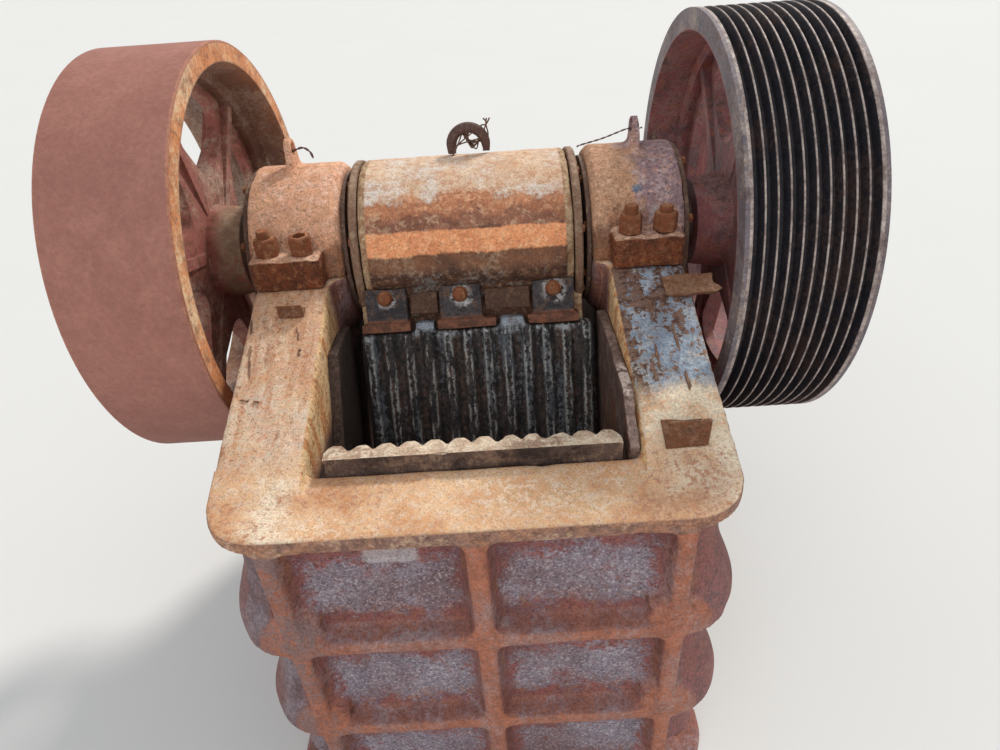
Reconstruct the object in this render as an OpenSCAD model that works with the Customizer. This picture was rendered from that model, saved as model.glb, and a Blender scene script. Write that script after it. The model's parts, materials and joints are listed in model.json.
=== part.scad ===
// Single-toggle jaw crusher with an overhead eccentric shaft, feed opening 600 x 400 mm class.
// Millimetres. The origin is on the ground at the middle of the four foot bolts, +X is the sheave
// side, -Y the front wall with the fixed jaw, +Z up.

/* [Chamber] */
// Clear width between the two cheek plates
chamber_w = 624; // [600:2:640]
// Number of teeth across each jaw plate
teeth = 12; // [8:1:14]
// Height of the fixed jaw plate's top edge above the ground
fixed_top_z = 1040; // [1010:5:1060]
// Height of both jaw plates' bottom edges above the ground
jaw_bottom_z = 190; // [170:5:230]
// Thickness of the fixed jaw plate over its teeth
fixed_plate_t = 48; // [40:1:60]
// Gap at each edge of the fixed jaw plate
fixed_gap = 12; // [6:1:16]
// Thickness of the moving jaw plate over its teeth
moving_plate_t = 60; // [50:1:70]
// Height of the teeth above the plates' roots
tooth_h = 22; // [14:1:26]
// Forward position of the moving jaw's tooth tips at the top, from the machine's middle
jaw_top_y = 25; // [0:5:45]
// Height of the moving jaw plate's top edge
jaw_top_z = 1067; // [1040:1:1080]
// Gap between the tooth tips at the discharge
discharge_gap = 70; // [50:5:100]
// Running clearance of the moving jaw plate at the right cheek plate
edge_gap = 7; // [5:1:12]
// Distance of the moving jaw plate's middle to the right of the machine's middle
plate_shift = 10; // [0:1:12]
// Thickness of a cheek plate
cheek_t = 25; // [20:1:32]

/* [Frame] */
// Thickness of a side wall
side_t = 60; // [45:5:80]
// Front edge of the feed flange, behind the machine's middle when negative
front_y = -573; // [-590:1:-560]
// Inner face of the front wall
wall_in_y = -400; // [-420:5:-390]
// Rear edge of the frame
rear_y = 800; // [770:5:840]
// Depth of the recessed panels between the ribs
panel_depth = 50; // [30:5:70]
// Corner radius of the recessed panels
panel_r = 34; // [20:2:60]
// Height of the feed flange above the ground
flange_z = 1000; // [980:5:1010]
// Thickness of the feed flange
flange_t = 38; // [30:1:45]
// Half the width of the feed flange and of the sloping arms
flange_x = 520; // [505:5:530]
// Corner radius of the feed flange
flange_r = 120; // [90:5:140]
// Half the width over the horizontal ledges
ledge_x = 545; // [530:5:560]
// Corner radius of the ledges
ledge_r = 140; // [100:5:150]
// Radius of the round corner posts between the ledges
post_r = 90; // [80:2:100]
// Height over which a post flares out onto the ledge below it
post_flare = 190; // [150:5:220]
// Thickness of the ledges and ribs
rib_t = 36; // [28:2:44]
// Thickness of the base flange
base_t = 40; // [30:2:50]
// Where the arms' slope starts on the feed flange
arm_start_y = -490; // [-500:5:-470]
// Thickness of the arm's flange
arm_t = 46; // [36:2:60]
// Diameter of a foot bolt hole
foot_hole_d = 34; // [26:1:40]
// Distance of the foot bolt holes from the middle
foot_x = 470; // [455:5:490]
// Distance of the foot bolt holes in front of and behind the middle
foot_y = 450; // [430:5:465]

/* [Shaft and bearings] */
// Distance of the shaft behind the machine's middle
shaft_y = 315; // [300:5:330]
// Height of the shaft above the ground
shaft_z = 1190; // [1180:5:1200]
// Throw of the eccentric
throw = 10; // [6:1:14]
// Diameter of the main journals
journal_d = 150; // [130:5:170]
// Diameter of the eccentric
eccentric_d = 190; // [180:5:210]
// Diameter of the wheel seats
wheel_seat_d = 130; // [110:5:136]
// Outer diameter of the main bearings
bearing_d = 300; // [280:10:320]
// Outer diameter of the bearings in the swing jaw's head
jaw_bearing_d = 290; // [260:10:310]
// Outer radius of the bearing housings
housing_r = 215; // [205:5:225]
// Inner end of the bearing housings
housing_in_x = 305; // [303:1:312]
// Outer end of the bearing housings
housing_out_x = 529; // [524:1:540]
// Height of the bearing cap's ears
ear_h = 75; // [60:5:90]
// Reach of the ears beyond the bearing housings
ear_out = 50; // [44:2:60]
// Inner side of the ears
ear_in_x = 345; // [335:5:355]
// Outer side of the ears
ear_out_x = 518; // [505:1:520]
// Diameter of the cap studs
stud_d = 33; // [27:1:36]
// Distance between the two studs of an ear
stud_gap = 82; // [74:2:90]
// Distance of the studs behind the ear's face
stud_in = 40; // [34:1:46]

/* [Wheels] */
// Inner edge of both wheel rims
wheel_in_x = 566; // [562:1:575]
// Width of the plain flywheel's rim
flywheel_w = 273; // [240:1:300]
// Width of the drive sheave's rim
sheave_w = 284; // [276:1:300]
// Number of V grooves in the drive sheave
grooves = 10; // [6:1:10]
// Spacing of the grooves
groove_pitch = 25.5; // [22:0.5:26]
// Outer radius of the plain flywheel
flywheel_r = 513; // [490:1:520]
// Outer radius of the drive sheave
sheave_r = 511; // [490:1:520]
// Thickness of the rims
rim_t = 48; // [40:1:60]
// Number of spokes
spokes = 6; // [4:1:8]
// Thickness of the spokes' ribs
spoke_t = 28; // [20:2:36]
// Corner radius of the windows between the spokes
window_r = 56; // [40:2:60]
// Turn of the flywheel's first spoke from upright, towards the front
flywheel_turn = 14; // [0:1:60]
// Turn of the sheave's first spoke from upright, towards the front
sheave_turn = 17; // [0:1:60]
// Radius of the hubs at the spokes
hub_r = 126; // [110:1:140]

/* [Swing jaw] */
// Radius of the swing jaw's head
head_r = 222; // [210:1:226]
// Half the width of the swing jaw's head over its end covers
head_x = 282; // [270:1:286]
// Thickness of the head's end covers
end_cover_t = 20; // [12:1:24]
// Thickness of the toggle plate
toggle_t = 45; // [35:5:55]

/* [Hidden] */
$fn = 96;

fit = 0.05;
seat = 0.3;
eps = 1;
cast = [0.66, 0.35, 0.26];
steel = [0.36, 0.27, 0.23];
dark = [0.2, 0.18, 0.17];

// Frame
wall_in_x = chamber_w / 2 + cheek_t;
wall_out_x = wall_in_x + side_t;
panel_y = front_y + panel_depth;
rear_top_z = 880;
rear_plate_t = 60;
beam_y = 600;
beam_z0 = 250;
beam_z1 = 470;
pocket_z = 150;
guide_t = 30;
guide_w = 40;
pocket_t = 80;
ledge_step = (flange_z - base_t) / 3;
ledge_z = [for (i = [1:2]) base_t + i * ledge_step - rib_t / 2];

// Chamber
fixed_tip_y = wall_in_y + fixed_plate_t;
fixed_half = chamber_w / 2 - fixed_gap;
plate_half = chamber_w / 2 - edge_gap - plate_shift;
jaw_bottom_y = fixed_tip_y + discharge_gap;
jaw_tilt = atan2(jaw_top_y - jaw_bottom_y, jaw_top_z - jaw_bottom_z);
jaw_len = (jaw_top_z - jaw_bottom_z) / cos(jaw_tilt);

// Bearing housings and caps
ear_front_y = shaft_y - housing_r - ear_out;
ear_rear_y = shaft_y + housing_r + ear_out;
ear_r = 16;
arm_slope = (shaft_z - flange_z) / (ear_front_y - arm_start_y);
arm_angle = atan(arm_slope);
bay_ribs = [[ear_front_y + rib_t / 2, shaft_z - arm_t], [shaft_y, shaft_z - housing_r + 20],
            [ear_rear_y - rib_t / 2, shaft_z - arm_t]];
stud_x = [(ear_in_x + ear_out_x - stud_gap) / 2, (ear_in_x + ear_out_x + stud_gap) / 2];
stud_y = [ear_front_y + stud_in, ear_rear_y - stud_in];
stud_rise = 24;
stud_sink = 2 * stud_d;
nut_r = stud_d * 1.52 / 2 / cos(30);
nut_h = stud_d * 1.3;
boss_h = 5;
boss_r = nut_r + 9;
housing_bevel = 16;
cover_step = 10;
cover_t = 10;
lug_t = 24;
lug_r = 26;
lug_z = housing_r + 47;
lug_hole_d = 28;

// Swing jaw
eccentric_z = shaft_z - throw;
head_in_x = head_x - end_cover_t;
head_bearing_x = 130;
slab_t = 70;
web_t = 40;
jaw_base_z = jaw_bottom_z - 20;
jaw_seat_y = -100;
lug_y = jaw_seat_y - 65;
head_depth = (shaft_y - jaw_top_y) * cos(jaw_tilt) - (eccentric_z - jaw_top_z) * sin(jaw_tilt);
head_front = head_depth - head_r;
block_half = 240;
block_face = head_front - 14.4;
block_z = [140, 195, 237];
clamp_face = head_front + 5.6;
clamp_w = 106;
clamp_x = [-211, -26, 204];
clamp_nose = [[-277, -151], [-88, 62], [136, 267]];
clamp_top = 109;
clamp_bolt_z = 86;
clamp_bolt_d = 30;
clamp_bolt_h = 14;
nose_h = 25;
plate_lug = [[clamp_nose[0][1] + 5, clamp_nose[1][0] - 5], [clamp_nose[1][1] + 5, clamp_nose[2][0] - 5]];
plate_lug_h = 22;
plate_lug_y = 12;
ring_x = 16;
ring_y = shaft_y + 40;
ring_r = 44;
ring_wire = 14;
ring_rise = 18;

// Toggle and tension rod
toggle_half = head_x - 12;
toggle_rear_y = 415;
toggle_rear_z = 350;
toggle_nose_y = -45;
toggle_nose_z = toggle_rear_z - 100;
toggle_relief = 3;
toggle_lip = 22;
seat_back_y = toggle_rear_y + 35;
seat_gap_r = toggle_t / 2 + throw + 6;
seat_half_h = seat_gap_r + toggle_lip;
seat_top = toggle_nose_z - throw + seat_half_h;
shim_t = 40;
shim_in = 20;
rod_z = 150;
rod_d = 30;
spring_y0 = rear_y + 24;
spring_len = 170;
spring_r = 42;
wire_r = 9;
spring_turns = 6;
washer_t = 8;
washer_r = spring_r + 14;

// Wheels
shaft_end_x = 800;
end_plate_t = 14;
hub_in_x = wheel_in_x + 20;
hub_nose_r = hub_r - 14;
hub_face_r = hub_nose_r - 18;
band_t = 24;
band_half = 40;
web_foot = 34;
web_tip = 12;
rib_half = 36;

function arm_z(y) = flange_z + (y - arm_start_y) * arm_slope;

// A profile drawn in (y, z), extruded from x0 to x1
module along_x(x0, x1) {
    translate([x0, 0, 0]) rotate([90, 0, 90]) linear_extrude(x1 - x0) children();
}

// Children repeated on the other side of the middle plane
module side(s) {
    if (s > 0) children();
    else mirror([1, 0, 0]) children();
}

// A disc or bar about the shaft's line, from x0 to x1
module on_shaft(r, x0, x1, z = shaft_z) {
    translate([x0, shaft_y, z]) rotate([0, 90, 0]) cylinder(r = r, h = x1 - x0);
}

// A body turned about the shaft's line, its profile given as points of radius and x
module turned(points, z = shaft_z) translate([0, shaft_y, z]) rotate([0, 90, 0])
    rotate_extrude($fn = 128) polygon(points);

// A rectangle with round corners
module rounded(x0, x1, y0, y1, r) {
    translate([x0 + r, y0]) square([x1 - x0 - 2 * r, y1 - y0]);
    translate([x0, y0 + r]) square([x1 - x0, y1 - y0 - 2 * r]);
    for (x = [x0 + r, x1 - r], y = [y0 + r, y1 - r]) translate([x, y]) circle(r = r);
}

// A flat plate in plan whose two front corners are round
module round_front(half, y0, y1, r) intersection() {
    rounded(-half, half, y0, y1 + 2 * r, r);
    translate([-half, y0]) square([2 * half, y1 - y0]);
}

// A panel recess with sloping sides and round corners, opening towards the front
module panel_cut(x0, x1, z0, z1) {
    draft = panel_depth * 0.35;
    intersection() {
        translate([0, 0, z0 - eps]) linear_extrude(z1 - z0 + 2 * eps)
            polygon([[x0, front_y - eps], [x1, front_y - eps], [x1 - draft, panel_y],
                     [x0 + draft, panel_y]]);
        along_x(x0 - eps, x1 + eps)
            polygon([[front_y - eps, z0], [panel_y, z0 + draft * 0.6],
                     [panel_y, z1 - draft], [front_y - eps, z1]]);
        translate([0, panel_y + eps, 0]) rotate([90, 0, 0]) linear_extrude(panel_depth + 3 * eps)
            rounded(x0, x1, z0, z1, panel_r);
    }
}

// Round post at a front corner: in each row it flares out onto the ledge below it
module corner_post() {
    steps = 8;
    foot = [base_t, for (z = ledge_z) z + rib_t / 2];
    head = [for (z = ledge_z) z - rib_t / 2 + eps, flange_z - eps];
    intersection() {
        translate([wall_in_x + eps, front_y, 0]) cube([ledge_x, wall_in_y - front_y, flange_z - eps]);
        for (i = [0:2]) translate([ledge_x - ledge_r, front_y + ledge_r, foot[i] - eps])
            rotate_extrude() polygon(concat([[0, 0]],
                [for (k = [0:steps]) [post_r + (ledge_r - post_r) * (1 + cos(180 * k / steps)) / 2,
                                      eps + post_flare * k / steps]],
                [[post_r, head[i] - foot[i] + eps], [0, head[i] - foot[i] + eps]]));
    }
}

module front_wall() color(cast) {
    rib_half_t = rib_t / 2;
    rows = [base_t, ledge_z[0] + rib_half_t, ledge_z[1] + rib_half_t];
    tops = [ledge_z[0] - rib_half_t, ledge_z[1] - rib_half_t, flange_z - flange_t];
    difference() {
        translate([-wall_out_x - rib_half_t, front_y, 0])
            cube([2 * wall_out_x + rib_t, wall_in_y - front_y, flange_z - eps]);
        for (i = [0:2]) {
            panel_cut(-wall_out_x + rib_half_t, -rib_half_t, rows[i], tops[i]);
            panel_cut(rib_half_t, wall_out_x - rib_half_t, rows[i], tops[i]);
        }
    }
    for (z = ledge_z) translate([0, 0, z - rib_half_t]) linear_extrude(rib_t)
        round_front(ledge_x, front_y, wall_in_y, ledge_r);
    linear_extrude(base_t) difference() {
        round_front(ledge_x, front_y, wall_in_y, ledge_r);
        for (s = [-1, 1]) translate([s * foot_x, -foot_y]) circle(d = foot_hole_d);
    }
    translate([0, 0, flange_z - flange_t]) linear_extrude(flange_t)
        round_front(flange_x, front_y, wall_in_y, flange_r);
    for (s = [-1, 1]) side(s) {
        along_x(wall_in_x, flange_x)
            polygon([[arm_start_y, flange_z - eps], [wall_in_y, flange_z - eps],
                     [wall_in_y, arm_z(wall_in_y)], [arm_start_y, flange_z]]);
        difference() {
            corner_post();
            translate([wall_out_x + rib_t / 2, front_y - eps, 0])
                cube([ledge_x, wall_in_y - front_y + 2 * eps, pocket_z]);
        }
    }
}

// Outside of a bearing housing, with its inner edge bevelled
module housing() turned([[0, housing_in_x], [housing_r - housing_bevel, housing_in_x],
    [housing_r, housing_in_x + housing_bevel], [housing_r, housing_out_x - 3],
    [housing_r - 3, housing_out_x], [0, housing_out_x]]);

module side_wall(s) side(s) color(cast) difference() {
    union() {
        along_x(wall_in_x, wall_out_x) wall_profile();
        along_x(wall_in_x, flange_x)
            polygon([[wall_in_y, arm_z(wall_in_y)], [ear_front_y, shaft_z],
                     [ear_front_y, shaft_z - arm_t], [wall_in_y, arm_z(wall_in_y) - arm_t]]);
        along_x(ear_in_x, ear_out_x)
            polygon([[ear_front_y, shaft_z], [ear_rear_y, shaft_z],
                     [ear_rear_y, shaft_z - arm_t], [ear_front_y, shaft_z - arm_t]]);
        along_x(wall_in_x, flange_x)
            polygon([[ear_rear_y, shaft_z], [rear_y, rear_top_z], [rear_y, rear_top_z - arm_t],
                     [ear_rear_y, shaft_z - arm_t]]);
        intersection() {
            housing();
            translate([0, shaft_y - housing_r, 0]) cube([housing_out_x, 2 * housing_r, shaft_z]);
        }
        for (z = ledge_z) translate([wall_in_x, wall_in_y, z - rib_t / 2])
            cube([ledge_x - wall_in_x, rear_y - wall_in_y, rib_t]);
        translate([wall_in_x, wall_in_y, 0]) cube([ledge_x - wall_in_x, rear_y - wall_in_y, base_t]);
        for (bay = bay_ribs) translate([wall_out_x - eps, bay[0] - rib_t / 2, base_t - eps])
            cube([flange_x - wall_out_x, rib_t, bay[1] - base_t + 2 * eps]);
        translate([toggle_half - guide_w, seat_back_y, beam_z0 - guide_t])
            cube([wall_in_x - toggle_half + guide_w + eps, beam_y - seat_back_y, guide_t]);
        translate([wall_out_x - eps, rear_y - rib_t, base_t - eps])
            cube([flange_x - wall_out_x, rib_t, rear_top_z - base_t]);
    }
    on_shaft(bearing_d / 2 + fit, 0, housing_out_x + eps);
    translate([foot_x, foot_y, -eps]) cylinder(d = foot_hole_d, h = base_t + 2 * eps);
    for (x = stud_x, y = stud_y) translate([x, y, shaft_z - stud_sink - eps])
        cylinder(d = stud_d + 2 * fit, h = stud_sink + 2 * eps);
}

// Side wall seen from the side
module wall_profile() polygon([[wall_in_y, 0], [rear_y, 0], [rear_y, rear_top_z],
    [ear_rear_y, shaft_z], [ear_front_y, shaft_z], [wall_in_y, arm_z(wall_in_y)]]);

module side_wall_left() side_wall(-1);
module side_wall_right() side_wall(1);

module rear_wall() color(cast) {
    cell = 2 * wall_in_x / 4;
    door = [140, 130];
    difference() {
        translate([-wall_in_x, beam_y, beam_z0])
            cube([2 * wall_in_x, rear_y - beam_y, beam_z1 - beam_z0]);
        for (i = [-1.5:1.5]) translate([(i - 0.5) * cell + rib_t / 2, beam_y + pocket_t, beam_z0 + rib_t])
            cube([cell - rib_t, rear_y - beam_y, beam_z1 - beam_z0 - 2 * rib_t]);
    }
    translate([-wall_in_x, rear_y - rear_plate_t, beam_z1 - eps])
        cube([2 * wall_in_x, rear_plate_t, rear_top_z - beam_z1]);
    difference() {
        translate([-wall_in_x, rear_y - rear_plate_t, 0])
            cube([2 * wall_in_x, rear_plate_t, beam_z0 + eps]);
        translate([-door[0] / 2, rear_y - rear_plate_t - eps, beam_z0 - door[1] - eps - 60])
            cube([door[0], rear_plate_t + 2 * eps, door[1] + 60]);
    }
    for (i = [-1:1]) translate([i * cell - rib_t / 2, rear_y - rear_plate_t - 50, beam_z1 - eps])
        cube([rib_t, 50 + eps, rear_top_z - beam_z1 - 60]);
}

module bearing_cap(s) side(s) color([0.72, 0.45, 0.36]) difference() {
    union() {
        intersection() {
            housing();
            translate([0, shaft_y - housing_r, shaft_z])
                cube([housing_out_x, 2 * housing_r, housing_r + eps]);
        }
        translate([0, 0, shaft_z]) linear_extrude(ear_h)
            rounded(ear_in_x, ear_out_x, ear_front_y, ear_rear_y, ear_r);
        for (x = stud_x, y = stud_y) translate([x, y, shaft_z + ear_h - eps])
            cylinder(r = boss_r, h = boss_h + eps);
        translate([(ear_in_x + ear_out_x - lug_t) / 2, shaft_y, shaft_z]) rotate([90, 0, 90])
            linear_extrude(lug_t) lug_profile();
    }
    on_shaft(bearing_d / 2 + fit, 0, housing_out_x + eps);
    for (x = stud_x, y = stud_y) translate([x, y, shaft_z - eps]) {
        cylinder(d = stud_d + 2, h = ear_h + boss_h + 2 * eps);
        translate([0, 0, ear_h + boss_h + eps]) cylinder(r = nut_r + 4, h = housing_r);
    }
}

// Lifting lug on a bearing cap, seen along the shaft
module lug_profile() difference() {
    union() {
        polygon([[-3 * lug_r, housing_r - 45], [3 * lug_r, housing_r - 45],
                 [1.4 * lug_r, housing_r + 12], [lug_r, lug_z], [-lug_r, lug_z],
                 [-1.4 * lug_r, housing_r + 12]]);
        translate([0, lug_z]) circle(r = lug_r);
    }
    translate([0, lug_z]) circle(d = lug_hole_d);
}

module bearing_cap_left() bearing_cap(-1);
module bearing_cap_right() bearing_cap(1);

module bearing_covers(s) side(s) color([0.68, 0.4, 0.33]) difference() {
    union() {
        on_shaft(housing_r - cover_step, housing_out_x, housing_out_x + cover_t);
        on_shaft(housing_r - housing_bevel - cover_step, housing_in_x - cover_t, housing_in_x);
    }
    on_shaft(journal_d / 2 + 3, 0, housing_out_x + cover_t + eps);
}

module bearing_covers_left() bearing_covers(-1);
module bearing_covers_right() bearing_covers(1);

module main_bearings() color(steel) for (s = [-1, 1]) side(s) difference() {
    on_shaft(bearing_d / 2, housing_in_x, housing_out_x);
    on_shaft(journal_d / 2 + fit, 0, housing_out_x + eps);
}

module cap_studs(s) side(s) color(steel) for (x = stud_x, y = stud_y) {
    translate([x, y, shaft_z - stud_sink])
        cylinder(d = stud_d, h = stud_sink + ear_h + boss_h + nut_h + stud_rise);
    translate([x, y, shaft_z + ear_h + boss_h]) cylinder(r = nut_r, h = nut_h, $fn = 6);
}

module cap_studs_left() cap_studs(-1);
module cap_studs_right() cap_studs(1);

module fixed_jaw_plate() color(dark) {
    pitch = 2 * fixed_half / teeth;
    translate([0, 0, jaw_bottom_z]) linear_extrude(fixed_top_z - jaw_bottom_z) {
        translate([-fixed_half, wall_in_y]) square([2 * fixed_half, fixed_plate_t - tooth_h]);
        intersection() {
            for (i = [0:teeth - 1]) translate([-fixed_half + (i + 0.5) * pitch, fixed_tip_y - pitch / 2])
                circle(d = pitch - fit, $fn = 32);
            translate([-fixed_half, wall_in_y]) square([2 * fixed_half, fixed_plate_t]);
        }
    }
}

module cheek_plate(s) side(s) color([0.33, 0.27, 0.24])
    along_x(chamber_w / 2, wall_in_x)
        polygon([[wall_in_y, jaw_bottom_z], [jaw_bottom_y + moving_plate_t, jaw_bottom_z],
                 [jaw_top_y + moving_plate_t, jaw_top_z], [jaw_top_y, jaw_top_z + 16],
                 [wall_in_y + 187, jaw_top_z + 25], [wall_in_y + 108, jaw_top_z + 31],
                 [wall_in_y, fixed_top_z - 23]]);

module cheek_plate_left() cheek_plate(-1);
module cheek_plate_right() cheek_plate(1);

// An angle bracket on the arm: an upright plate with a hole, and a foot behind it
module angle_bracket(x0, x1, y0, h, foot, t, hole) color(steel) difference() {
    union() {
        along_x(x0, x1) polygon([[y0, arm_z(y0)], [y0 + t, arm_z(y0 + t)],
                                 [y0 + t, arm_z(y0) + h], [y0, arm_z(y0) + h]]);
        along_x(x0, x1) polygon([[y0 + t, arm_z(y0 + t)], [y0 + foot, arm_z(y0 + foot)],
                                 [y0 + foot, arm_z(y0 + foot) + t], [y0 + t, arm_z(y0 + t) + t]]);
    }
    translate([hole[0], y0 - eps, arm_z(y0) + hole[1]]) rotate([-90, 0, 0])
        cylinder(d = hole[2], h = t + 2 * eps);
}

module bracket_right() angle_bracket(380, 466, -415, 68, 60, 9, [424, 44, 16]);
module bracket_left() angle_bracket(-446, -383, -34, 36, 30, 6, [-423, 18, 14]);

// Flat bar welded across the right arm, its outer end torn off
module bar_stub_right() color(steel) {
    y0 = -46;
    bar_t = 14;
    bar_w = 64;
    x0 = 450;
    x1 = 566;
    translate([0, y0, arm_z(y0) + fit]) rotate([arm_angle, 0, 0]) linear_extrude(bar_t)
        polygon([[x0, 0], [x1, 0], [x1 + 24, 12], [x1 + 17, 26], [x1 + 4, 34], [x1 + 6, bar_w],
                 [x0, bar_w]]);
}

module toggle_block() color(cast) translate([-toggle_half, seat_back_y, beam_z0])
    cube([2 * toggle_half, beam_y - shim_t - seat_back_y, beam_z1 - beam_z0]);

module toggle_shims() color(steel)
    translate([-toggle_half + shim_in, beam_y - shim_t, beam_z0 + shim_in])
        cube([2 * (toggle_half - shim_in), shim_t, beam_z1 - beam_z0 - 2 * shim_in]);

module toggle_seat_rear() color(steel) difference() {
    translate([-toggle_half, toggle_rear_y, toggle_rear_z - toggle_t])
        cube([2 * toggle_half, seat_back_y - toggle_rear_y, 2 * toggle_t]);
    translate([-toggle_half - eps, toggle_rear_y, toggle_rear_z]) rotate([0, 90, 0])
        cylinder(d = toggle_t + 2 * fit, h = 2 * (toggle_half + eps));
}

module toggle_plate() color(cast) {
    span = [toggle_rear_y - toggle_nose_y, toggle_rear_z - toggle_nose_z];
    half = toggle_half - 10;
    flat_t = toggle_t - toggle_relief;
    translate([-half, toggle_rear_y, toggle_rear_z]) rotate([atan2(span[1], span[0]), 0, 0]) {
        translate([0, -norm(span), -flat_t / 2]) cube([2 * half, norm(span), flat_t]);
        for (y = [0, -norm(span)]) translate([0, y, 0]) rotate([0, 90, 0])
            cylinder(d = toggle_t, h = 2 * half);
    }
}

module toggle_seat_jaw() color(steel) difference() {
    translate([-toggle_half, jaw_seat_y + fit, toggle_nose_z - throw - seat_half_h])
        cube([2 * toggle_half, toggle_nose_y - 8 - jaw_seat_y - fit, 2 * seat_half_h]);
    translate([-toggle_half - eps, toggle_nose_y, toggle_nose_z - throw]) rotate([0, 90, 0])
        cylinder(r = seat_gap_r, h = 2 * (toggle_half + eps));
}

// Frame of the jaw: y is the depth behind the tooth tips, z runs up along the plate from its top
module jaw_place() translate([0, jaw_top_y, jaw_top_z]) rotate([-jaw_tilt, 0, 0]) children();

function jaw_point(y, z) = [jaw_top_y + y * cos(jaw_tilt) + z * sin(jaw_tilt),
                            jaw_top_z - y * sin(jaw_tilt) + z * cos(jaw_tilt)];

module moving_jaw_plate() color(dark) jaw_place() {
    pitch = 2 * plate_half / teeth;
    for (x = plate_lug) translate([x[0], plate_lug_y, -eps])
        cube([x[1] - x[0], moving_plate_t - plate_lug_y, plate_lug_h + eps]);
    translate([plate_shift, 0, -jaw_len]) linear_extrude(jaw_len) {
        translate([-plate_half, tooth_h]) square([2 * plate_half, moving_plate_t - tooth_h]);
        for (i = [0:teeth - 1]) translate([-plate_half + (i + 0.5) * pitch, 0])
            polygon([[-pitch / 2, tooth_h + fit], [-pitch * 0.16, 0], [pitch * 0.16, 0],
                     [pitch / 2, tooth_h + fit]]);
    }
}

module swing_jaw() color([0.7, 0.42, 0.3]) difference() {
    union() {
        turned([[0, -head_in_x], [head_r - 3, -head_in_x], [head_r, -head_in_x + 3],
                [head_r, head_in_x - 3], [head_r - 3, head_in_x], [0, head_in_x]], eccentric_z);
        intersection() {
            jaw_place() translate([-head_x, moving_plate_t, -jaw_len - slab_t])
                cube([2 * head_x, slab_t, jaw_len + 2 * slab_t]);
            translate([-head_x, 2 * front_y, jaw_base_z])
                cube([2 * head_x, -4 * front_y, 2 * shaft_z]);
        }
        for (i = [0:3]) along_x(-head_x + i * web_step(), -head_x + i * web_step() + web_t)
            polygon([jaw_point(moving_plate_t + eps, 60), [shaft_y + 120, eccentric_z - 150],
                     [70, 560], [jaw_seat_y + 30, seat_top + 30], [jaw_seat_y, seat_top + eps],
                     [jaw_seat_y, jaw_base_z],
                     jaw_point(moving_plate_t + slab_t / 2, -jaw_len + 20)]);
        along_x(-toggle_half, toggle_half)
            polygon([[jaw_seat_y, 320], [jaw_seat_y, jaw_base_z],
                     jaw_point(moving_plate_t + slab_t / 2, -jaw_len + 20),
                     jaw_point(moving_plate_t + slab_t / 2, -jaw_len + 200)]);
        translate([-web_t, lug_y, rod_z - 1.5 * rod_d])
            cube([2 * web_t, jaw_seat_y - lug_y, jaw_base_z - rod_z + 2 * rod_d]);
        along_x(-block_half, block_half)
            polygon([jaw_point(moving_plate_t, block_z[2]), jaw_point(block_face + 17, block_z[2]),
                     jaw_point(block_face, block_z[1]), jaw_point(block_face, block_z[0]),
                     jaw_point(clamp_face, clamp_top + 4),
                     jaw_point(moving_plate_t, clamp_top + 4)]);
    }
    on_shaft(eccentric_d / 2 + 8, -head_x, head_x, eccentric_z);
    for (s = [-1, 1]) side(s) {
        on_shaft(jaw_bearing_d / 2 + fit, head_bearing_x, head_x, eccentric_z);
        on_shaft(head_r + fit, head_in_x, head_x + eps, eccentric_z);
    }
}

function web_step() = (2 * head_x - web_t) / 3;

module jaw_bearings() color(steel) for (s = [-1, 1]) side(s) difference() {
    on_shaft(jaw_bearing_d / 2, head_bearing_x, head_in_x, eccentric_z);
    on_shaft(eccentric_d / 2 + fit, 0, head_x, eccentric_z);
}

// Clamps that hold the top edge of the moving jaw plate
module jaw_clamps() color(steel) difference() {
    jaw_place() for (i = [0:2]) {
        translate([clamp_x[i] - clamp_w / 2, clamp_face, nose_h - eps])
            cube([clamp_w, moving_plate_t - clamp_face, clamp_top - nose_h + eps]);
        translate([clamp_nose[i][0], clamp_face - 10, 0])
            cube([clamp_nose[i][1] - clamp_nose[i][0], moving_plate_t - clamp_face + 10, nose_h]);
    }
    on_shaft(head_r + seat, -head_x, head_x, eccentric_z);
}

module jaw_clamp_bolts() color(steel) jaw_place() for (x = clamp_x)
    translate([x, clamp_face, clamp_bolt_z]) rotate([90, 0, 0])
        cylinder(d = clamp_bolt_d, h = clamp_bolt_h);

module jaw_keys() color(steel) difference() {
    key_z = nose_h + 15;
    key_face = clamp_face + 5;
    jaw_place() for (i = [0:1]) {
        x0 = clamp_x[i] + clamp_w / 2 + 4;
        x1 = clamp_x[i + 1] - clamp_w / 2 - 4;
        translate([x0, key_face, key_z])
            cube([x1 - x0, moving_plate_t - key_face, clamp_top - key_z - 14]);
    }
    on_shaft(head_r + seat, -head_x, head_x, eccentric_z);
}

module jaw_end_covers() color([0.55, 0.33, 0.26]) for (s = [-1, 1]) side(s) {
    bore = eccentric_d / 2 + 3;
    turned([[bore, head_in_x], [head_r - 3, head_in_x], [head_r, head_in_x + 3],
            [head_r, head_x - 4], [head_r - 4, head_x], [bore, head_x]], eccentric_z);
}

module jaw_lifting_ring() color(steel) difference() {
    translate([ring_x, ring_y, eccentric_z]) {
        translate([0, 0, head_r + ring_rise]) rotate([90, 0, 0]) rotate_extrude(angle = 180)
            translate([ring_r, 0]) circle(r = ring_wire, $fn = 48);
        for (s = [-1, 1]) translate([s * ring_r, 0, head_r - 20])
            cylinder(r = ring_wire, h = ring_rise + 20);
    }
    on_shaft(head_r + seat, -head_x, head_x, eccentric_z);
}

module eccentric_shaft() color(steel) {
    on_shaft(eccentric_d / 2, -head_x - 7, head_x + 7, eccentric_z);
    on_shaft(journal_d / 2, -housing_out_x - 12, housing_out_x + 12);
    on_shaft(wheel_seat_d / 2, -shaft_end_x, shaft_end_x);
}

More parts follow.
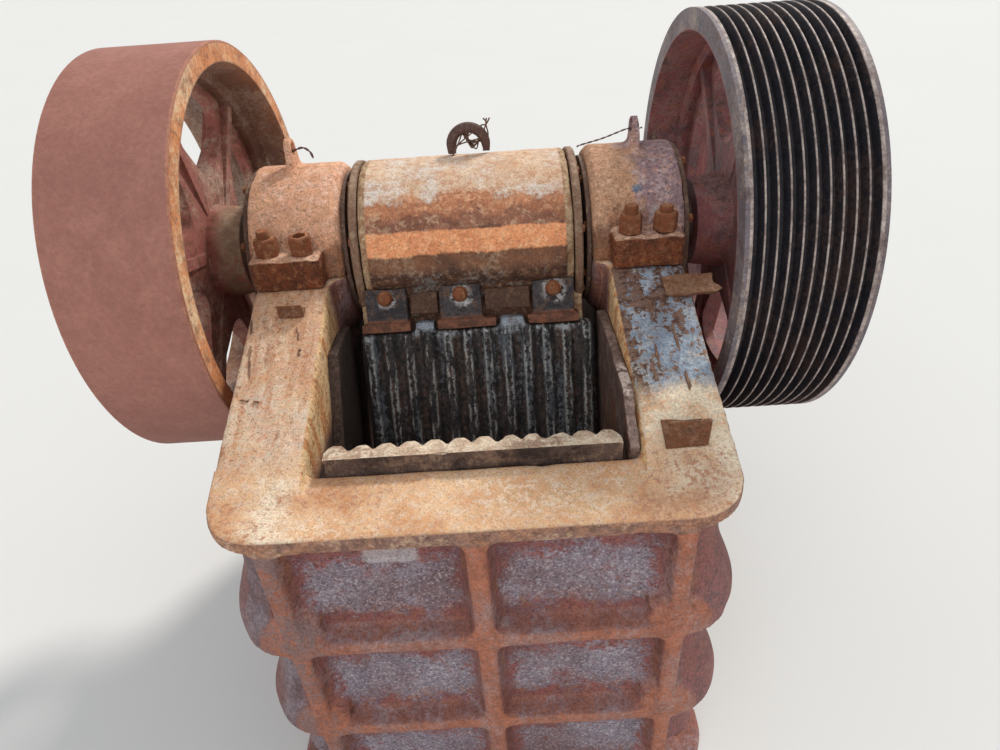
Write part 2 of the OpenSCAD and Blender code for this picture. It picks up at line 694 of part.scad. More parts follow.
module shaft_end_plates() color(steel) for (s = [-1, 1]) side(s)
    on_shaft(hub_face_r, shaft_end_x, shaft_end_x + end_plate_t);

// Outline of a window between two spokes, pointing up
module window(top_r) {
    half = 180 / spokes;
    foot = [0, hub_r + 64 + window_r];
    turn = half - asin((spoke_t - 2 + window_r) / (top_r - window_r));
    corner = (top_r - window_r) * [sin(turn), cos(turn)];
    along = (corner - foot) / norm(corner - foot);
    out = window_r * [along[1], -along[0]];
    intersection() {
        circle(r = top_r);
        union() {
            polygon([foot + out, corner + out, top_r * [sin(turn), cos(turn)],
                     [0, top_r / cos(turn)], top_r * [-sin(turn), cos(turn)],
                     flip(corner + out), flip(foot + out)]);
            for (c = [foot, corner, flip(corner)]) translate(c) circle(r = window_r);
        }
    }
}

function flip(p) = [-p[0], p[1]];

// Hub, web and spokes of a wheel, inside a rim of the given outer radius and width
module wheel_centre(r, w, turn) {
    mid = wheel_in_x + w / 2;
    reach = r - rim_t - band_t;
    difference() {
        union() {
            difference() {
                turned([[0, hub_in_x], [hub_nose_r, hub_in_x], [hub_r, mid - web_foot],
                        [reach + 2, mid - web_tip], [reach + 2, mid + web_tip],
                        [hub_r, mid + web_foot], [hub_nose_r, shaft_end_x], [0, shaft_end_x]]);
                for (i = [0:spokes - 1])
                    translate([mid - 2 * web_foot, shaft_y, shaft_z])
                        rotate([turn + (i + 0.5) * 360 / spokes, 0, 0]) rotate([90, 0, 90])
                            linear_extrude(4 * web_foot) window(reach - band_t - 6);
            }
            for (i = [0:spokes - 1]) translate([mid, shaft_y, shaft_z])
                rotate([turn + i * 360 / spokes, 0, 0])
                    translate([-rib_half, -spoke_t / 2, hub_r - 20])
                        cube([2 * rib_half, spoke_t, reach - hub_r + 22]);
        }
        on_shaft(wheel_seat_d / 2 + fit, wheel_in_x, shaft_end_x + eps);
    }
}

// Inner side of a rim, with the raised band that carries the web
function rim_inside(r, x0, x1) = let (ri = r - rim_t, mid = (x0 + x1) / 2)
    [[ri, x1], [ri - 4, mid + band_half + 10], [ri - band_t, mid + band_half],
     [ri - band_t, mid - band_half], [ri - 4, mid - band_half - 10], [ri, x0]];

module flywheel_left() color([0.52, 0.33, 0.3]) side(-1) {
    x0 = wheel_in_x;
    x1 = wheel_in_x + flywheel_w;
    turned(concat([[flywheel_r - 3, x0], [flywheel_r, x0 + 3], [flywheel_r, x1 - 3],
                   [flywheel_r - 3, x1]], rim_inside(flywheel_r, x0, x1)));
    wheel_centre(flywheel_r, flywheel_w, flywheel_turn);
}

module drive_sheave() color([0.27, 0.25, 0.25]) {
    x0 = wheel_in_x;
    x1 = wheel_in_x + sheave_w;
    land = (sheave_w - grooves * groove_pitch) / 2;
    groove_top = groove_pitch - 3.2;
    groove_bed = groove_pitch * 0.32;
    groove_d = 21;
    outer = [for (i = [0:grooves - 1]) let (c = x0 + land + (i + 0.5) * groove_pitch)
        each [[sheave_r, c - groove_top / 2], [sheave_r - groove_d, c - groove_bed / 2],
              [sheave_r - groove_d, c + groove_bed / 2], [sheave_r, c + groove_top / 2]]];
    turned(concat([[sheave_r, x0]], outer, [[sheave_r, x1]], rim_inside(sheave_r, x0, x1)));
    wheel_centre(sheave_r, sheave_w, sheave_turn);
}

module tension_rod() color(steel) translate([0, jaw_seat_y, rod_z]) rotate([-90, 0, 0])
    cylinder(d = rod_d, h = spring_y0 + spring_len + 3 * rod_d - jaw_seat_y);

module tension_nuts() color(steel) for (y = [spring_y0 - washer_t, spring_y0 + spring_len])
    translate([0, y, rod_z]) rotate([-90, 0, 0]) difference() {
        union() {
            cylinder(r = washer_r, h = washer_t);
            if (y > spring_y0) cylinder(d = rod_d * 1.9, h = washer_t + 1.6 * rod_d, $fn = 6);
        }
        translate([0, 0, -eps]) cylinder(d = rod_d + 2 * fit, h = 3 * rod_d);
    }

module tension_spring() color(steel) translate([0, spring_y0, rod_z]) rotate([-90, 0, 0])
    intersection() {
        sweep([for (i = [-8:spring_turns * 20 + 8]) let (a = i * 18)
            [spring_r * cos(a), spring_r * sin(a), i / 20 * spring_len / spring_turns]]);
        cylinder(r = 2 * spring_r, h = spring_len);
    }

// Round wire swept along a list of points
module sweep(path, n = 8) {
    last = len(path) - 1;
    dirs = [for (i = [0:last]) path[min(i + 1, last)] - path[max(i - 1, 0)]];
    rings = [for (i = [0:last]) let (t = dirs[i] / norm(dirs[i]), u = cross(t, [0, 0, 1]),
        un = u / norm(u), v = cross(t, un)) each [for (k = [0:n - 1])
            path[i] + wire_r * (un * cos(k * 360 / n) + v * sin(k * 360 / n))]];
    sides = [for (i = [0:last - 1], k = [0:n - 1]) [i * n + k, i * n + (k + 1) % n,
        (i + 1) * n + (k + 1) % n, (i + 1) * n + k]];
    polyhedron(rings, concat(sides, [[for (k = [n - 1:-1:0]) k]],
        [[for (k = [0:n - 1]) last * n + k]]));
}

front_wall();
side_wall_left();
side_wall_right();
rear_wall();
bearing_cap_left();
bearing_cap_right();
bearing_covers_left();
bearing_covers_right();
main_bearings();
cap_studs_left();
cap_studs_right();
fixed_jaw_plate();
cheek_plate_left();
cheek_plate_right();
bracket_right();
bracket_left();
bar_stub_right();
toggle_block();
toggle_shims();
toggle_seat_rear();
toggle_plate();
eccentric_shaft();
flywheel_left();
drive_sheave();
shaft_end_plates();
swing_jaw();
jaw_bearings();
moving_jaw_plate();
jaw_clamps();
jaw_clamp_bolts();
jaw_keys();
jaw_end_covers();
jaw_lifting_ring();
toggle_seat_jaw();
tension_rod();
tension_spring();
tension_nuts();
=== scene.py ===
"""Looks of the jaw crusher: worn castings, rusty paint, bolts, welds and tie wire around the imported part."""
import itertools
import json
import math
import random

import bmesh
import bpy
import numpy as np
from mathutils import Matrix, Vector


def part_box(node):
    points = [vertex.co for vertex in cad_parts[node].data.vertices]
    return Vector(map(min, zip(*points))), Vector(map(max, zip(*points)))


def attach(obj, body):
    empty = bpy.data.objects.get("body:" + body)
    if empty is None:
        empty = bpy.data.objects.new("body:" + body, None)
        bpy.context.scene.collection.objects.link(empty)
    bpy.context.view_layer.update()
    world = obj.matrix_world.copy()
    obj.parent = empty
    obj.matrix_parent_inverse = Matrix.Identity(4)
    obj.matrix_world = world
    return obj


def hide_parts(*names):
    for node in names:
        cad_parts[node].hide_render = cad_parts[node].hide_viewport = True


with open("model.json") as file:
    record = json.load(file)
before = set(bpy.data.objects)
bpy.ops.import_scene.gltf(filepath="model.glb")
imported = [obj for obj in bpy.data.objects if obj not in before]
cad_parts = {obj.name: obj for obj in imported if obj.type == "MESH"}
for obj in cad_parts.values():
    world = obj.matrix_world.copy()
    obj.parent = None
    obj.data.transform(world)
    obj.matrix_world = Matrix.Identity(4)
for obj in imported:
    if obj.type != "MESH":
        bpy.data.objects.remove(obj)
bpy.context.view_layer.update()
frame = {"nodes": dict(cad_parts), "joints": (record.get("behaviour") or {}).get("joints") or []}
scene = bpy.context.scene
nodes = frame["nodes"]


def end_of(node, axis, side=1):
    """Where a CAD node ends along an axis, on its high side or with -1 on its low one, to 0.1 mm."""
    return round(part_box(node)[side > 0]["xyz".index(axis)], 4)


# Places that several pieces and materials share, in metres
joints = {joint["name"]: Vector(joint["pos_m"]) for joint in frame["joints"]}
SHAFT = joints["shaft_spin"]
HEAD = joints["jaw_on_eccentric"]
SIDES = ((-1, "left"), (1, "right"))
# The walls' rough skin is cut at the front wall's back and just inside the side walls
WALL_Y = end_of("front_wall", "y")
REAR_X = end_of("rear_wall", "x") - 0.007
REAR_Y = end_of("rear_wall", "y", -1)
# Where the arms' slope starts on the feed flange
ARM_Y = -0.490
ARM_Z = 1.000
ARM_SLOPE = 0.3519
# Tooth tips at the moving plate's top edge, and how far the plate leans
JAW_TOP = Vector((0.0, 0.025, 1.067))
JAW_TILT = math.radians(19.29)
# Bearing housings with the caps' studs and nuts
HOUSING_R = 0.215
STUD_X = (0.3905, 0.4725)
STUD_Y = (0.090, 0.540)
STUD_R = 0.0165
STUD_RISE = 0.024
NUT_ACROSS = 0.050
NUT_FOOT = 1.270
NUT_H = 0.0429
# Clamp bolts in the swing jaw's own frame
CLAMP_X = (-0.211, -0.026, 0.204)
CLAMP_FACE = 0.020
CLAMP_BOLT_Z = 0.086


def arm_z(y):
    """Height of the arms' sloping tops."""
    return ARM_Z + (y - ARM_Y) * ARM_SLOPE


def jaw_point(x, y, z):
    """A point in the swing jaw's own frame: depth behind the tooth tips, height over the plate's top."""
    c, s = math.cos(JAW_TILT), math.sin(JAW_TILT)
    return Vector((x, JAW_TOP.y + y * c + z * s, JAW_TOP.z - y * s + z * c))


def about_shaft(x, r, angle, centre=SHAFT):
    """A point at a radius, its angle counted from upright towards the front."""
    a = math.radians(angle)
    return Vector((x, centre.y - r * math.sin(a), centre.z + r * math.cos(a)))


# Camera, light and floor

def make_camera():
    """The photo's viewpoint, solved from the two wheels, the frame's edges and the caps."""
    place = (0.084645, -1.408929, 1.918421)
    yaw, pitch, roll = -0.0179344, 0.6063197, -0.0732840
    data = bpy.data.cameras.new("camera")
    data.sensor_fit = "HORIZONTAL"
    data.sensor_width = 36.0
    data.lens = 24.271
    data.clip_start = 0.05
    data.clip_end = 200.0
    cam = bpy.data.objects.new("camera", data)
    turn = (Matrix.Rotation(-yaw, 4, "Z") @ Matrix.Rotation(math.pi / 2 - pitch, 4, "X")
            @ Matrix.Rotation(roll, 4, "Z"))
    cam.matrix_world = Matrix.Translation(place) @ turn
    scene.collection.objects.link(cam)
    scene.camera = cam


def make_light():
    """A pale studio: the sky that shows is brighter than the one that lights."""
    scene.view_settings.view_transform = "Standard"
    world = bpy.data.worlds.new("studio")
    scene.world = world
    world.use_nodes = True
    tree = world.node_tree
    link = tree.links.new
    tree.nodes.clear()
    out = tree.nodes.new("ShaderNodeOutputWorld")
    mix = tree.nodes.new("ShaderNodeMixShader")
    for slot, colour, strength in ((1, (0.90, 0.95, 1.0, 1.0), 0.62), (2, (0.86, 0.86, 0.85, 1.0), 1.0)):
        sky = tree.nodes.new("ShaderNodeBackground")
        sky.inputs["Color"].default_value = colour
        sky.inputs["Strength"].default_value = strength
        link(sky.outputs[0], mix.inputs[slot])
    path = tree.nodes.new("ShaderNodeLightPath")
    shows = path.outputs["Is Camera Ray"]
    for ray in ("Is Glossy Ray", "Is Transmission Ray"):
        either = tree.nodes.new("ShaderNodeMath")
        either.operation = "MAXIMUM"
        link(shows, either.inputs[0])
        link(path.outputs[ray], either.inputs[1])
        shows = either.outputs[0]
    link(shows, mix.inputs["Fac"])
    link(mix.outputs[0], out.inputs["Surface"])
    for name, towards, strength, angle, colour in (
        ("key", (0.49, 0.60, 0.66), 2.3, 9.0, (1.0, 0.96, 0.90)),
        ("fill", (-0.25, -0.75, 0.62), 0.75, 60.0, (1.0, 0.98, 0.96)),
    ):
        lamp = bpy.data.lights.new(name, "SUN")
        lamp.energy = strength
        lamp.angle = math.radians(angle)
        lamp.color = colour
        obj = bpy.data.objects.new(name, lamp)
        obj.rotation_mode = "QUATERNION"
        obj.rotation_quaternion = Vector(towards).to_track_quat("Z", "Y")
        scene.collection.objects.link(obj)


# Materials

def linear(colour):
    """Linear colour of an sRGB triple from 0 to 255."""
    return tuple(((c / 255 + 0.055) / 1.055) ** 2.4 for c in colour) + (1.0,)


class Val:
    """A number in a material's node tree. Arithmetic on it adds Math nodes."""

    def __init__(self, tree, socket):
        self.tree, self.socket = tree, socket

    def op(self, kind, *others):
        n = self.tree.nodes.new("ShaderNodeMath")
        n.operation = kind
        for i, v in enumerate((self,) + others):
            if isinstance(v, Val):
                self.tree.links.new(v.socket, n.inputs[i])
            else:
                n.inputs[i].default_value = v
        return Val(self.tree, n.outputs[0])

    def __add__(self, o):
        return self.op("ADD", o)

    def __sub__(self, o):
        return self.op("SUBTRACT", o)

    def __mul__(self, o):
        return self.op("MULTIPLY", o)

    def __truediv__(self, o):
        return self.op("DIVIDE", o)

    def __abs__(self):
        return self.op("ABSOLUTE")

    def either(self, o):
        return self.op("MAXIMUM", o)

    def outside(self):
        return self.op("MULTIPLY_ADD", -1.0, 1.0)

    def step(self, lo, hi):
        n = self.tree.nodes.new("ShaderNodeMapRange")
        n.interpolation_type = "SMOOTHSTEP"
        self.tree.links.new(self.socket, n.inputs["Value"])
        n.inputs["From Min"].default_value = lo
        n.inputs["From Max"].default_value = hi
        return Val(self.tree, n.outputs["Result"])

    def between(self, lo, hi, soft):
        return self.step(lo - soft, lo + soft) * self.step(hi + soft, hi - soft)


class Surface:
    """One procedural material, its patterns placed by the piece's own coordinates in metres.

    With a bevel its edges look rounded and are found by the Bevel node; without one the mesh is dense enough
    for its own pointiness to tell edges from hollows.
    """

    def __init__(self, name, bevel=0.0):
        self.mat = bpy.data.materials.new(name)
        self.mat.use_nodes = True
        self.tree = self.mat.node_tree
        self.tree.nodes.clear()
        coords = self.node("TexCoord")
        self.pos = coords.outputs["Object"]
        self.x, self.y, self.z = self.split(self.pos)
        self.nx, self.ny, self.nz = self.split(coords.outputs["Normal"])
        geometry = self.node("NewGeometry")
        self.normal = None
        if bevel:
            round_edge = self.node("Bevel", Radius=bevel)
            round_edge.samples = 2
            dot = self.node("VectorMath")
            dot.operation = "DOT_PRODUCT"
            self.link(round_edge.outputs[0], dot.inputs[0])
            self.link(geometry.outputs["True Normal"], dot.inputs[1])
            self.edge = Val(self.tree, dot.outputs["Value"]).step(0.985, 0.86)
            self.normal = round_edge.outputs[0]
        else:
            point = Val(self.tree, geometry.outputs["Pointiness"])
            self.edge = point.step(0.53, 0.60)
            self.hollow = point.step(0.47, 0.40)
        self.grain = self.noise(85, detail=4, rough=0.7)
        self.speck = self.noise(200, detail=2, rough=0.6)

    def node(self, kind, **constants):
        """A new node with these numbers on its sockets."""
        n = self.tree.nodes.new("ShaderNode" + kind)
        for socket, value in constants.items():
            n.inputs[socket].default_value = value
        return n

    def link(self, source, socket):
        self.tree.links.new(source.socket if isinstance(source, Val) else source, socket)

    def split(self, socket):
        n = self.node("SeparateXYZ")
        self.link(socket, n.inputs[0])
        return [Val(self.tree, o) for o in n.outputs]

    def place(self, stretch, shift):
        n = self.node("Mapping", Scale=stretch, Location=(shift, shift * 0.7, -shift * 1.3))
        self.link(self.pos, n.inputs["Vector"])
        return n.outputs[0]

    def noise(self, scale, detail=3, rough=0.62, stretch=(1, 1, 1), shift=0.0, warp=0.0):
        n = self.node("TexNoise", Scale=scale, Detail=detail, Roughness=rough, Distortion=warp)
        self.link(self.place(stretch, shift), n.inputs["Vector"])
        return Val(self.tree, n.outputs["Fac"])

    def part(self, field, share, soft=0.09, ragged=0.75):
        """Covers about that share of the surface, where a field is high, its outline frayed by the grain."""
        at = 0.5 + (0.5 - share) * 0.30
        return (field + (self.grain - 0.5) * ragged).step(at - soft, at + soft)

    def spot(self, centre, radius, soft=0.3):
        """A round patch about a point, its outline broken by the grain."""
        n = self.node("VectorMath")
        n.operation = "DISTANCE"
        self.link(self.pos, n.inputs[0])
        n.inputs[1].default_value = centre
        ragged = (self.grain - 0.5) * radius * 1.4
        return (Val(self.tree, n.outputs["Value"]) + ragged).step(radius * (1 + soft), radius * (1 - soft))

    def reach(self, centre):
        """Distance from a line along X through a point."""
        dy, dz = self.y - centre.y, self.z - centre.z
        return (dy * dy + dz * dz).op("SQRT")

    def mix(self, a, b, share):
        """Blends two colours, each a socket or an sRGB triple."""
        n = self.node("Mix")
        n.data_type = "RGBA"
        for socket, value in ((n.inputs[0], share), (n.inputs[6], a), (n.inputs[7], b)):
            if isinstance(value, tuple):
                socket.default_value = linear(value)
            else:
                self.link(value, socket)
        return n.outputs[2]

    def tones(self, light, dark, field, soft=0.17):
        """Two colours in patches of about equal size."""
        return self.mix(light, dark, self.part(field, 0.5, soft))

    def coat(self, base, *layers):
        """Lays colours over a base, given as (colour, mask) or as (colour, field, share, soft, strength)."""
        for colour, mask, *patches in layers:
            if patches:
                share, soft, strength = patches
                mask = self.part(mask, share, soft) * strength
            base = self.mix(base, colour, mask)
        return base

    def done(self, colour, rough, grainy=0.2, metal=0.0, height=None, depth=0.002, spec=0.3, mottle=1.0):
        """Ends the material: colour mottled by the grain, roughness that follows it, and a bumpy skin."""
        shade = (self.speck - 0.5) * 1.3 * mottle + (self.grain - 0.5) * 1.1 * mottle + 1.0
        fine = self.node("Mix")
        fine.data_type = "RGBA"
        fine.blend_type = "MULTIPLY"
        fine.inputs[0].default_value = 1.0
        self.link(colour, fine.inputs[6])
        self.link(shade, fine.inputs[7])
        shader = self.node("BsdfPrincipled", Metallic=metal, Roughness=rough)
        shader.inputs["Specular IOR Level"].default_value = spec
        self.link(fine.outputs[2], shader.inputs["Base Color"])
        if grainy:
            self.link(self.grain * grainy + rough, shader.inputs["Roughness"])
        bump = self.node("Bump", Strength=1.0, Distance=depth)
        self.link(height or self.grain * 0.7 + self.speck * 0.3, bump.inputs["Height"])
        if self.normal:
            self.link(self.normal, bump.inputs["Normal"])
        self.link(bump.outputs[0], shader.inputs["Normal"])
        out = self.node("OutputMaterial")
        self.link(shader.outputs[0], out.inputs["Surface"])
        return self.mat

    def cast_skin(self, field):
        """Height of a rough casting: grain, specks and rust pits."""
        cells = self.node("TexVoronoi", Scale=120)
        self.link(self.place((1, 1, 1), 3.0), cells.inputs["Vector"])
        pits = Val(self.tree, cells.outputs["Distance"]).step(0.32, 0.02) * self.part(field, 0.45, 0.05)
        return self.grain * 0.9 + self.speck * 0.25 - pits * 0.4


def frame_material():
    s = Surface("frame_paint")
    x, y, z, nx, ny, nz = s.x, s.y, s.z, s.nx, s.ny, s.nz
    broad, mid, small = s.noise(5), s.noise(20, 5, shift=3.0), s.noise(55, shift=6.0)
    other = s.noise(13, 5, shift=9.0, stretch=(1, 1, 0.6))
    # Where two castings meet their rims are no worn edges
    off_rear_cuts = abs(abs(x) - REAR_X).step(0.01, 0.014).either(y.step(REAR_Y + 0.02, REAR_Y))
    whole = abs(y - WALL_Y).step(0.009, 0.013) * off_rear_cuts
    s.edge, s.hollow = s.edge * whole, s.hollow * whole
    up = nz.step(0.45, 0.8)
    front = ny.step(-0.35, -0.75)
    # Height over the feed flange, and what lies below it
    rise = z - ARM_Z
    below = rise.step(-0.035, -0.05)
    tone = (broad * 0.6 + s.grain * 0.4).step(0.42, 0.58)
    # Red-oxide paint under dust, all over
    red = s.coat(
        s.mix((146, 92, 84), (122, 76, 70), tone),
        ((150, 126, 126), other, 0.4, 0.15, 0.8), ((150, 98, 70), mid, 0.26, 0.14, 0.8),
        ((98, 64, 54), small, 0.2, 0.1, 0.8))
    # Recessed panels: dusty grey in the middle, red towards the ribs
    foot_h, row_h, column_x, rib_y = 0.04, 0.32, 0.1985, -0.55
    row = ((z - foot_h) / row_h).op("FRACT")
    column = abs(abs(x) - column_x)
    floor = front * y.step(rib_y + 0.002, rib_y + 0.015) * below * column.step(0.2, 0.18)
    middle = row.between(0.12, 0.6, 0.14) * column.step(0.178, 0.12)
    dusty = (middle * 1.1 + (mid - 0.5) * 2.4 + (s.grain - 0.5) * 2.4 + (other - 0.5) * 1.2).step(0.05, 1.05)
    bare_patch = ((x + (mid - 0.5) * 0.03).between(-0.224, -0.118, 0.006)
                  * (z + (other - 0.5) * 0.03).between(0.872, 0.918, 0.005))
    panel = s.coat(
        s.tones((146, 90, 84), (122, 82, 84), mid, 0.2),
        ((146, 138, 148), dusty * 0.9),
        ((178, 172, 176), s.part(small, 0.26, 0.12) * dusty * 0.5),
        ((104, 92, 102), s.part(other, 0.28, 0.17) * dusty * 0.6),
        ((150, 98, 76), s.part(small, 0.26, 0.1) * row.step(0.35, 0.1) * 0.8),
        ((104, 66, 62), broad, 0.22, 0.14, 0.6),
        ((206, 202, 202), s.speck.step(0.58, 0.68) * dusty * 0.35),
        ((80, 58, 58), s.speck.step(0.42, 0.36) * 0.45),
        ((190, 182, 182), bare_patch * 0.65))
    ribs = front * y.step(rib_y, rib_y - 0.01) * rise.step(-0.035, -0.045)
    rib = s.coat(
        s.tones((176, 110, 84), (156, 98, 78), mid),
        ((158, 128, 122), other, 0.38, 0.16, 0.8), ((128, 84, 70), small, 0.2, 0.12, 0.6),
        ((122, 100, 98), x.step(-0.3, -0.36) * s.part(other, 0.62, 0.16) * 0.8))
    ledge = s.coat(
        s.tones((156, 104, 88), (132, 90, 84), mid),
        ((152, 138, 142), other, 0.28, 0.14, 0.7), ((132, 84, 74), small, 0.24, 0.12, 0.6))
    # Round corner posts: lavender dust over red, orange where they meet the ledges
    bend = (y + (mid - 0.5) * 0.2 + (s.grain - 0.5) * 0.1).step(-0.39, -0.45)
    post = front.either(abs(nx).step(0.3, 0.7) * 0.6) * bend * abs(x).step(0.425, 0.44)
    corner = s.coat(
        s.tones((118, 95, 96), (100, 79, 82), mid),
        ((136, 124, 130), other, 0.4, 0.15, 0.8), ((150, 102, 84), broad, 0.22, 0.12, 0.6),
        ((142, 88, 82), x.step(-0.01, 0.01) * s.part(other, 0.75, 0.2) * 0.8))
    paint = s.coat(red, (corner, post * below), (panel, floor), (rib, ribs), (ledge, up * below))
    # Feed flange: tan dust over orange rust, a brown edge
    pale_end = ((x + (broad - 0.5) * 0.3).step(0.34, 0.44)
                + (abs(x + 0.39) + (mid - 0.5) * 0.2).step(0.07, 0.01))
    flange = s.coat(
        s.mix((232, 192, 152), (218, 168, 126), tone),
        ((206, 144, 98), other, 0.34, 0.2, 0.75),
        ((246, 230, 204), pale_end * s.part(other, 0.72, 0.14) * 0.9),
        ((250, 238, 216), s.part(small, 0.28, 0.07, 1.3) * 0.6),
        ((176, 120, 84), s.part(small, 0.2, 0.07, 1.3) * s.part(broad, 0.6, 0.2) * 0.7),
        ((168, 112, 78), s.part(broad, 0.14, 0.14, 1.1) * 0.7),
        ((126, 86, 64), s.speck.step(0.57, 0.65) * 0.6))
    lip = s.coat(
        s.mix((150, 114, 100), (172, 122, 94), s.part(mid, 0.45, 0.14)),
        ((110, 80, 68), small, 0.28, 0.09, 0.8), ((190, 160, 134), other, 0.1, 0.09, 0.7))
    front_lip = rise.step(-0.045, -0.037) * up.outside() * y.step(-0.395, -0.405)
    paint = s.coat(paint, (lip, front_lip), (flange, rise.step(-0.025, -0.015) * up))
    # Sloping arms: cream and orange on the left, worn sky blue on the right
    above = (rise - (y - ARM_Y) * ARM_SLOPE).step(-0.014, -0.006) * y.step(-0.43, -0.36)
    flakes = s.noise(17, stretch=(1.5, 0.5, 0.5), shift=2.0, warp=0.5)
    flaking = flakes + (broad - 0.5) * 0.8 + y.step(-0.18, 0.02) * 0.15 + x.step(0.41, 0.35) * 0.07
    worn = s.part(flaking, 0.28, 0.03)
    blue = s.coat(
        s.tones((132, 142, 155), (160, 172, 186), mid),
        ((192, 184, 170), other, 0.22, 0.14, 0.6),
        ((124, 88, 66), worn.either(s.part(small, 0.16, 0.05)) * 0.9),
        ((84, 60, 50), worn * s.part(small, 0.35, 0.1)),
        (s.mix((238, 218, 190), (218, 174, 136), s.part(mid, 0.35, 0.14)),
         (y + (mid - 0.5) * 0.1).step(-0.245, -0.3)))
    streaks = s.noise(24, stretch=(1.6, 0.25, 0.25), shift=12.0)
    cream = s.coat(
        s.mix((224, 198, 168), (208, 172, 140), tone),
        ((206, 196, 190), other, 0.36, 0.16, 0.7),
        ((218, 158, 112), s.part(broad, 0.4, 0.2, 1.2).either(y.step(-0.16, -0.04)) * 0.6),
        ((206, 142, 98), s.part(mid, 0.24, 0.2, 1.2) * 0.35),
        ((140, 92, 64), s.part(flakes, 0.08, 0.05, 1.2) * 0.8),
        ((244, 230, 206), s.part(small, 0.24, 0.16, 0.9) * 0.4),
        ((176, 116, 78), s.part(streaks, 0.2, 0.1, 0.9) * 0.6),
        ((106, 76, 60), s.speck.step(0.56, 0.64) * 0.7))
    paint = s.coat(paint, (s.mix(cream, blue, x.step(-0.01, 0.01)), above * up))
    # Inner sides of the arms: rust running down cream paint
    runs = s.noise(30, stretch=(1, 1, 0.12), shift=3.0)
    inner = s.coat(
        s.tones((230, 196, 150), (208, 158, 108), runs, 0.2),
        ((184, 118, 72), runs, 0.22, 0.12, 0.8), ((128, 84, 60), small, 0.16, 0.12, 0.6))
    inside = abs(x).step(0.352, 0.344) * abs(nx).step(0.5, 0.8) * rise.step(-0.07, -0.01) * y.step(0.08, 0.02)
    # Inside the chamber below the flange the walls get painted shade: dark brown over the red
    chamber_painted_shade = abs(x).step(0.345, 0.34) * y.between(-0.39, 0.53, 0.02) * rise.step(-0.03, -0.07)
    dark = s.tones((86, 66, 58), (60, 48, 44), mid)
    paint = s.coat(
        paint, (dark, chamber_painted_shade), (inner, inside),
        ((190, 140, 108), s.edge * s.part(mid, 0.6, 0.26) * 0.75),
        ((84, 58, 52), s.hollow * s.part(mid, 0.7, 0.34) * 0.7))
    return s.done(paint, 0.66, 0.25, height=s.cast_skin(mid), depth=0.0035)


def cap_material(right):
    s = Surface("cap_paint_" + ("right" if right else "left"))
    nz, r = s.nz, s.reach(SHAFT)
    # Height over the ears' bosses
    rise = s.z - NUT_FOOT
    broad, mid, small = s.noise(10, 5), s.noise(30, shift=3.0), s.noise(65, shift=6.0)
    if right:
        # Towards the sheave the cap is painted in the sheave's shadow: lavender grey with lavender patches
        shade = (s.x + (broad - 0.5) * 0.2 + (s.grain - 0.5) * 0.05).step(0.385, 0.43)
        base = s.coat(
            s.mix((196, 150, 118), (150, 124, 128), shade),
            ((170, 148, 154), s.part(mid, 0.4, 0.14) * shade),
            ((96, 116, 140), s.spot((0.416, 0.166, 1.345), 0.011)),
            ((176, 164, 164), s.spot((0.462, 0.125, 1.3), 0.018)))
    else:
        base = s.coat(
            s.tones((240, 186, 148), (222, 164, 128), broad, 0.2),
            ((226, 166, 146), mid, 0.3, 0.16, 0.7),
            ((238, 228, 212), s.spot((-0.382, 0.118, 1.275), 0.012)))
    rusty = s.tones((146, 94, 66), (100, 64, 48), mid, 0.14)
    low = (rise + (broad - 0.5) * 0.24 + (s.grain - 0.5) * 0.08).step(0.03, -0.035)
    base = s.coat(
        base, ((176, 124, 98), small, 0.22, 0.16, 0.6),
        ((240, 208, 180), s.part(mid, 0.22, 0.14) * (0.2 if right else 0.5)),
        ((118, 80, 62), s.speck.step(0.59, 0.66) * 0.6), (rusty, low * 0.8))
    ear_top = nz.step(0.6, 0.85) * rise.step(0.008, 0.004) * rise.step(-0.02, -0.012)
    ear_side = rise.step(-0.003, -0.008) * r.step(HOUSING_R - 0.003, HOUSING_R + 0.01) * nz.step(0.75, 0.5)
    dark = s.coat(s.tones((124, 66, 39), (84, 48, 32), mid, 0.2),
                  ((158, 108, 72), small, 0.2, 0.14, 0.45))
    base = s.coat(
        base, (dark, ear_side), ((200, 160, 134), ear_top * s.part(mid, 0.66, 0.17)),
        ((222, 188, 156), s.edge * s.part(small, 0.45, 0.2) * 0.65),
        ((70, 48, 42), s.hollow * 0.7))
    return s.done(base, 0.7, height=s.cast_skin(mid), depth=0.0045, mottle=1.5)


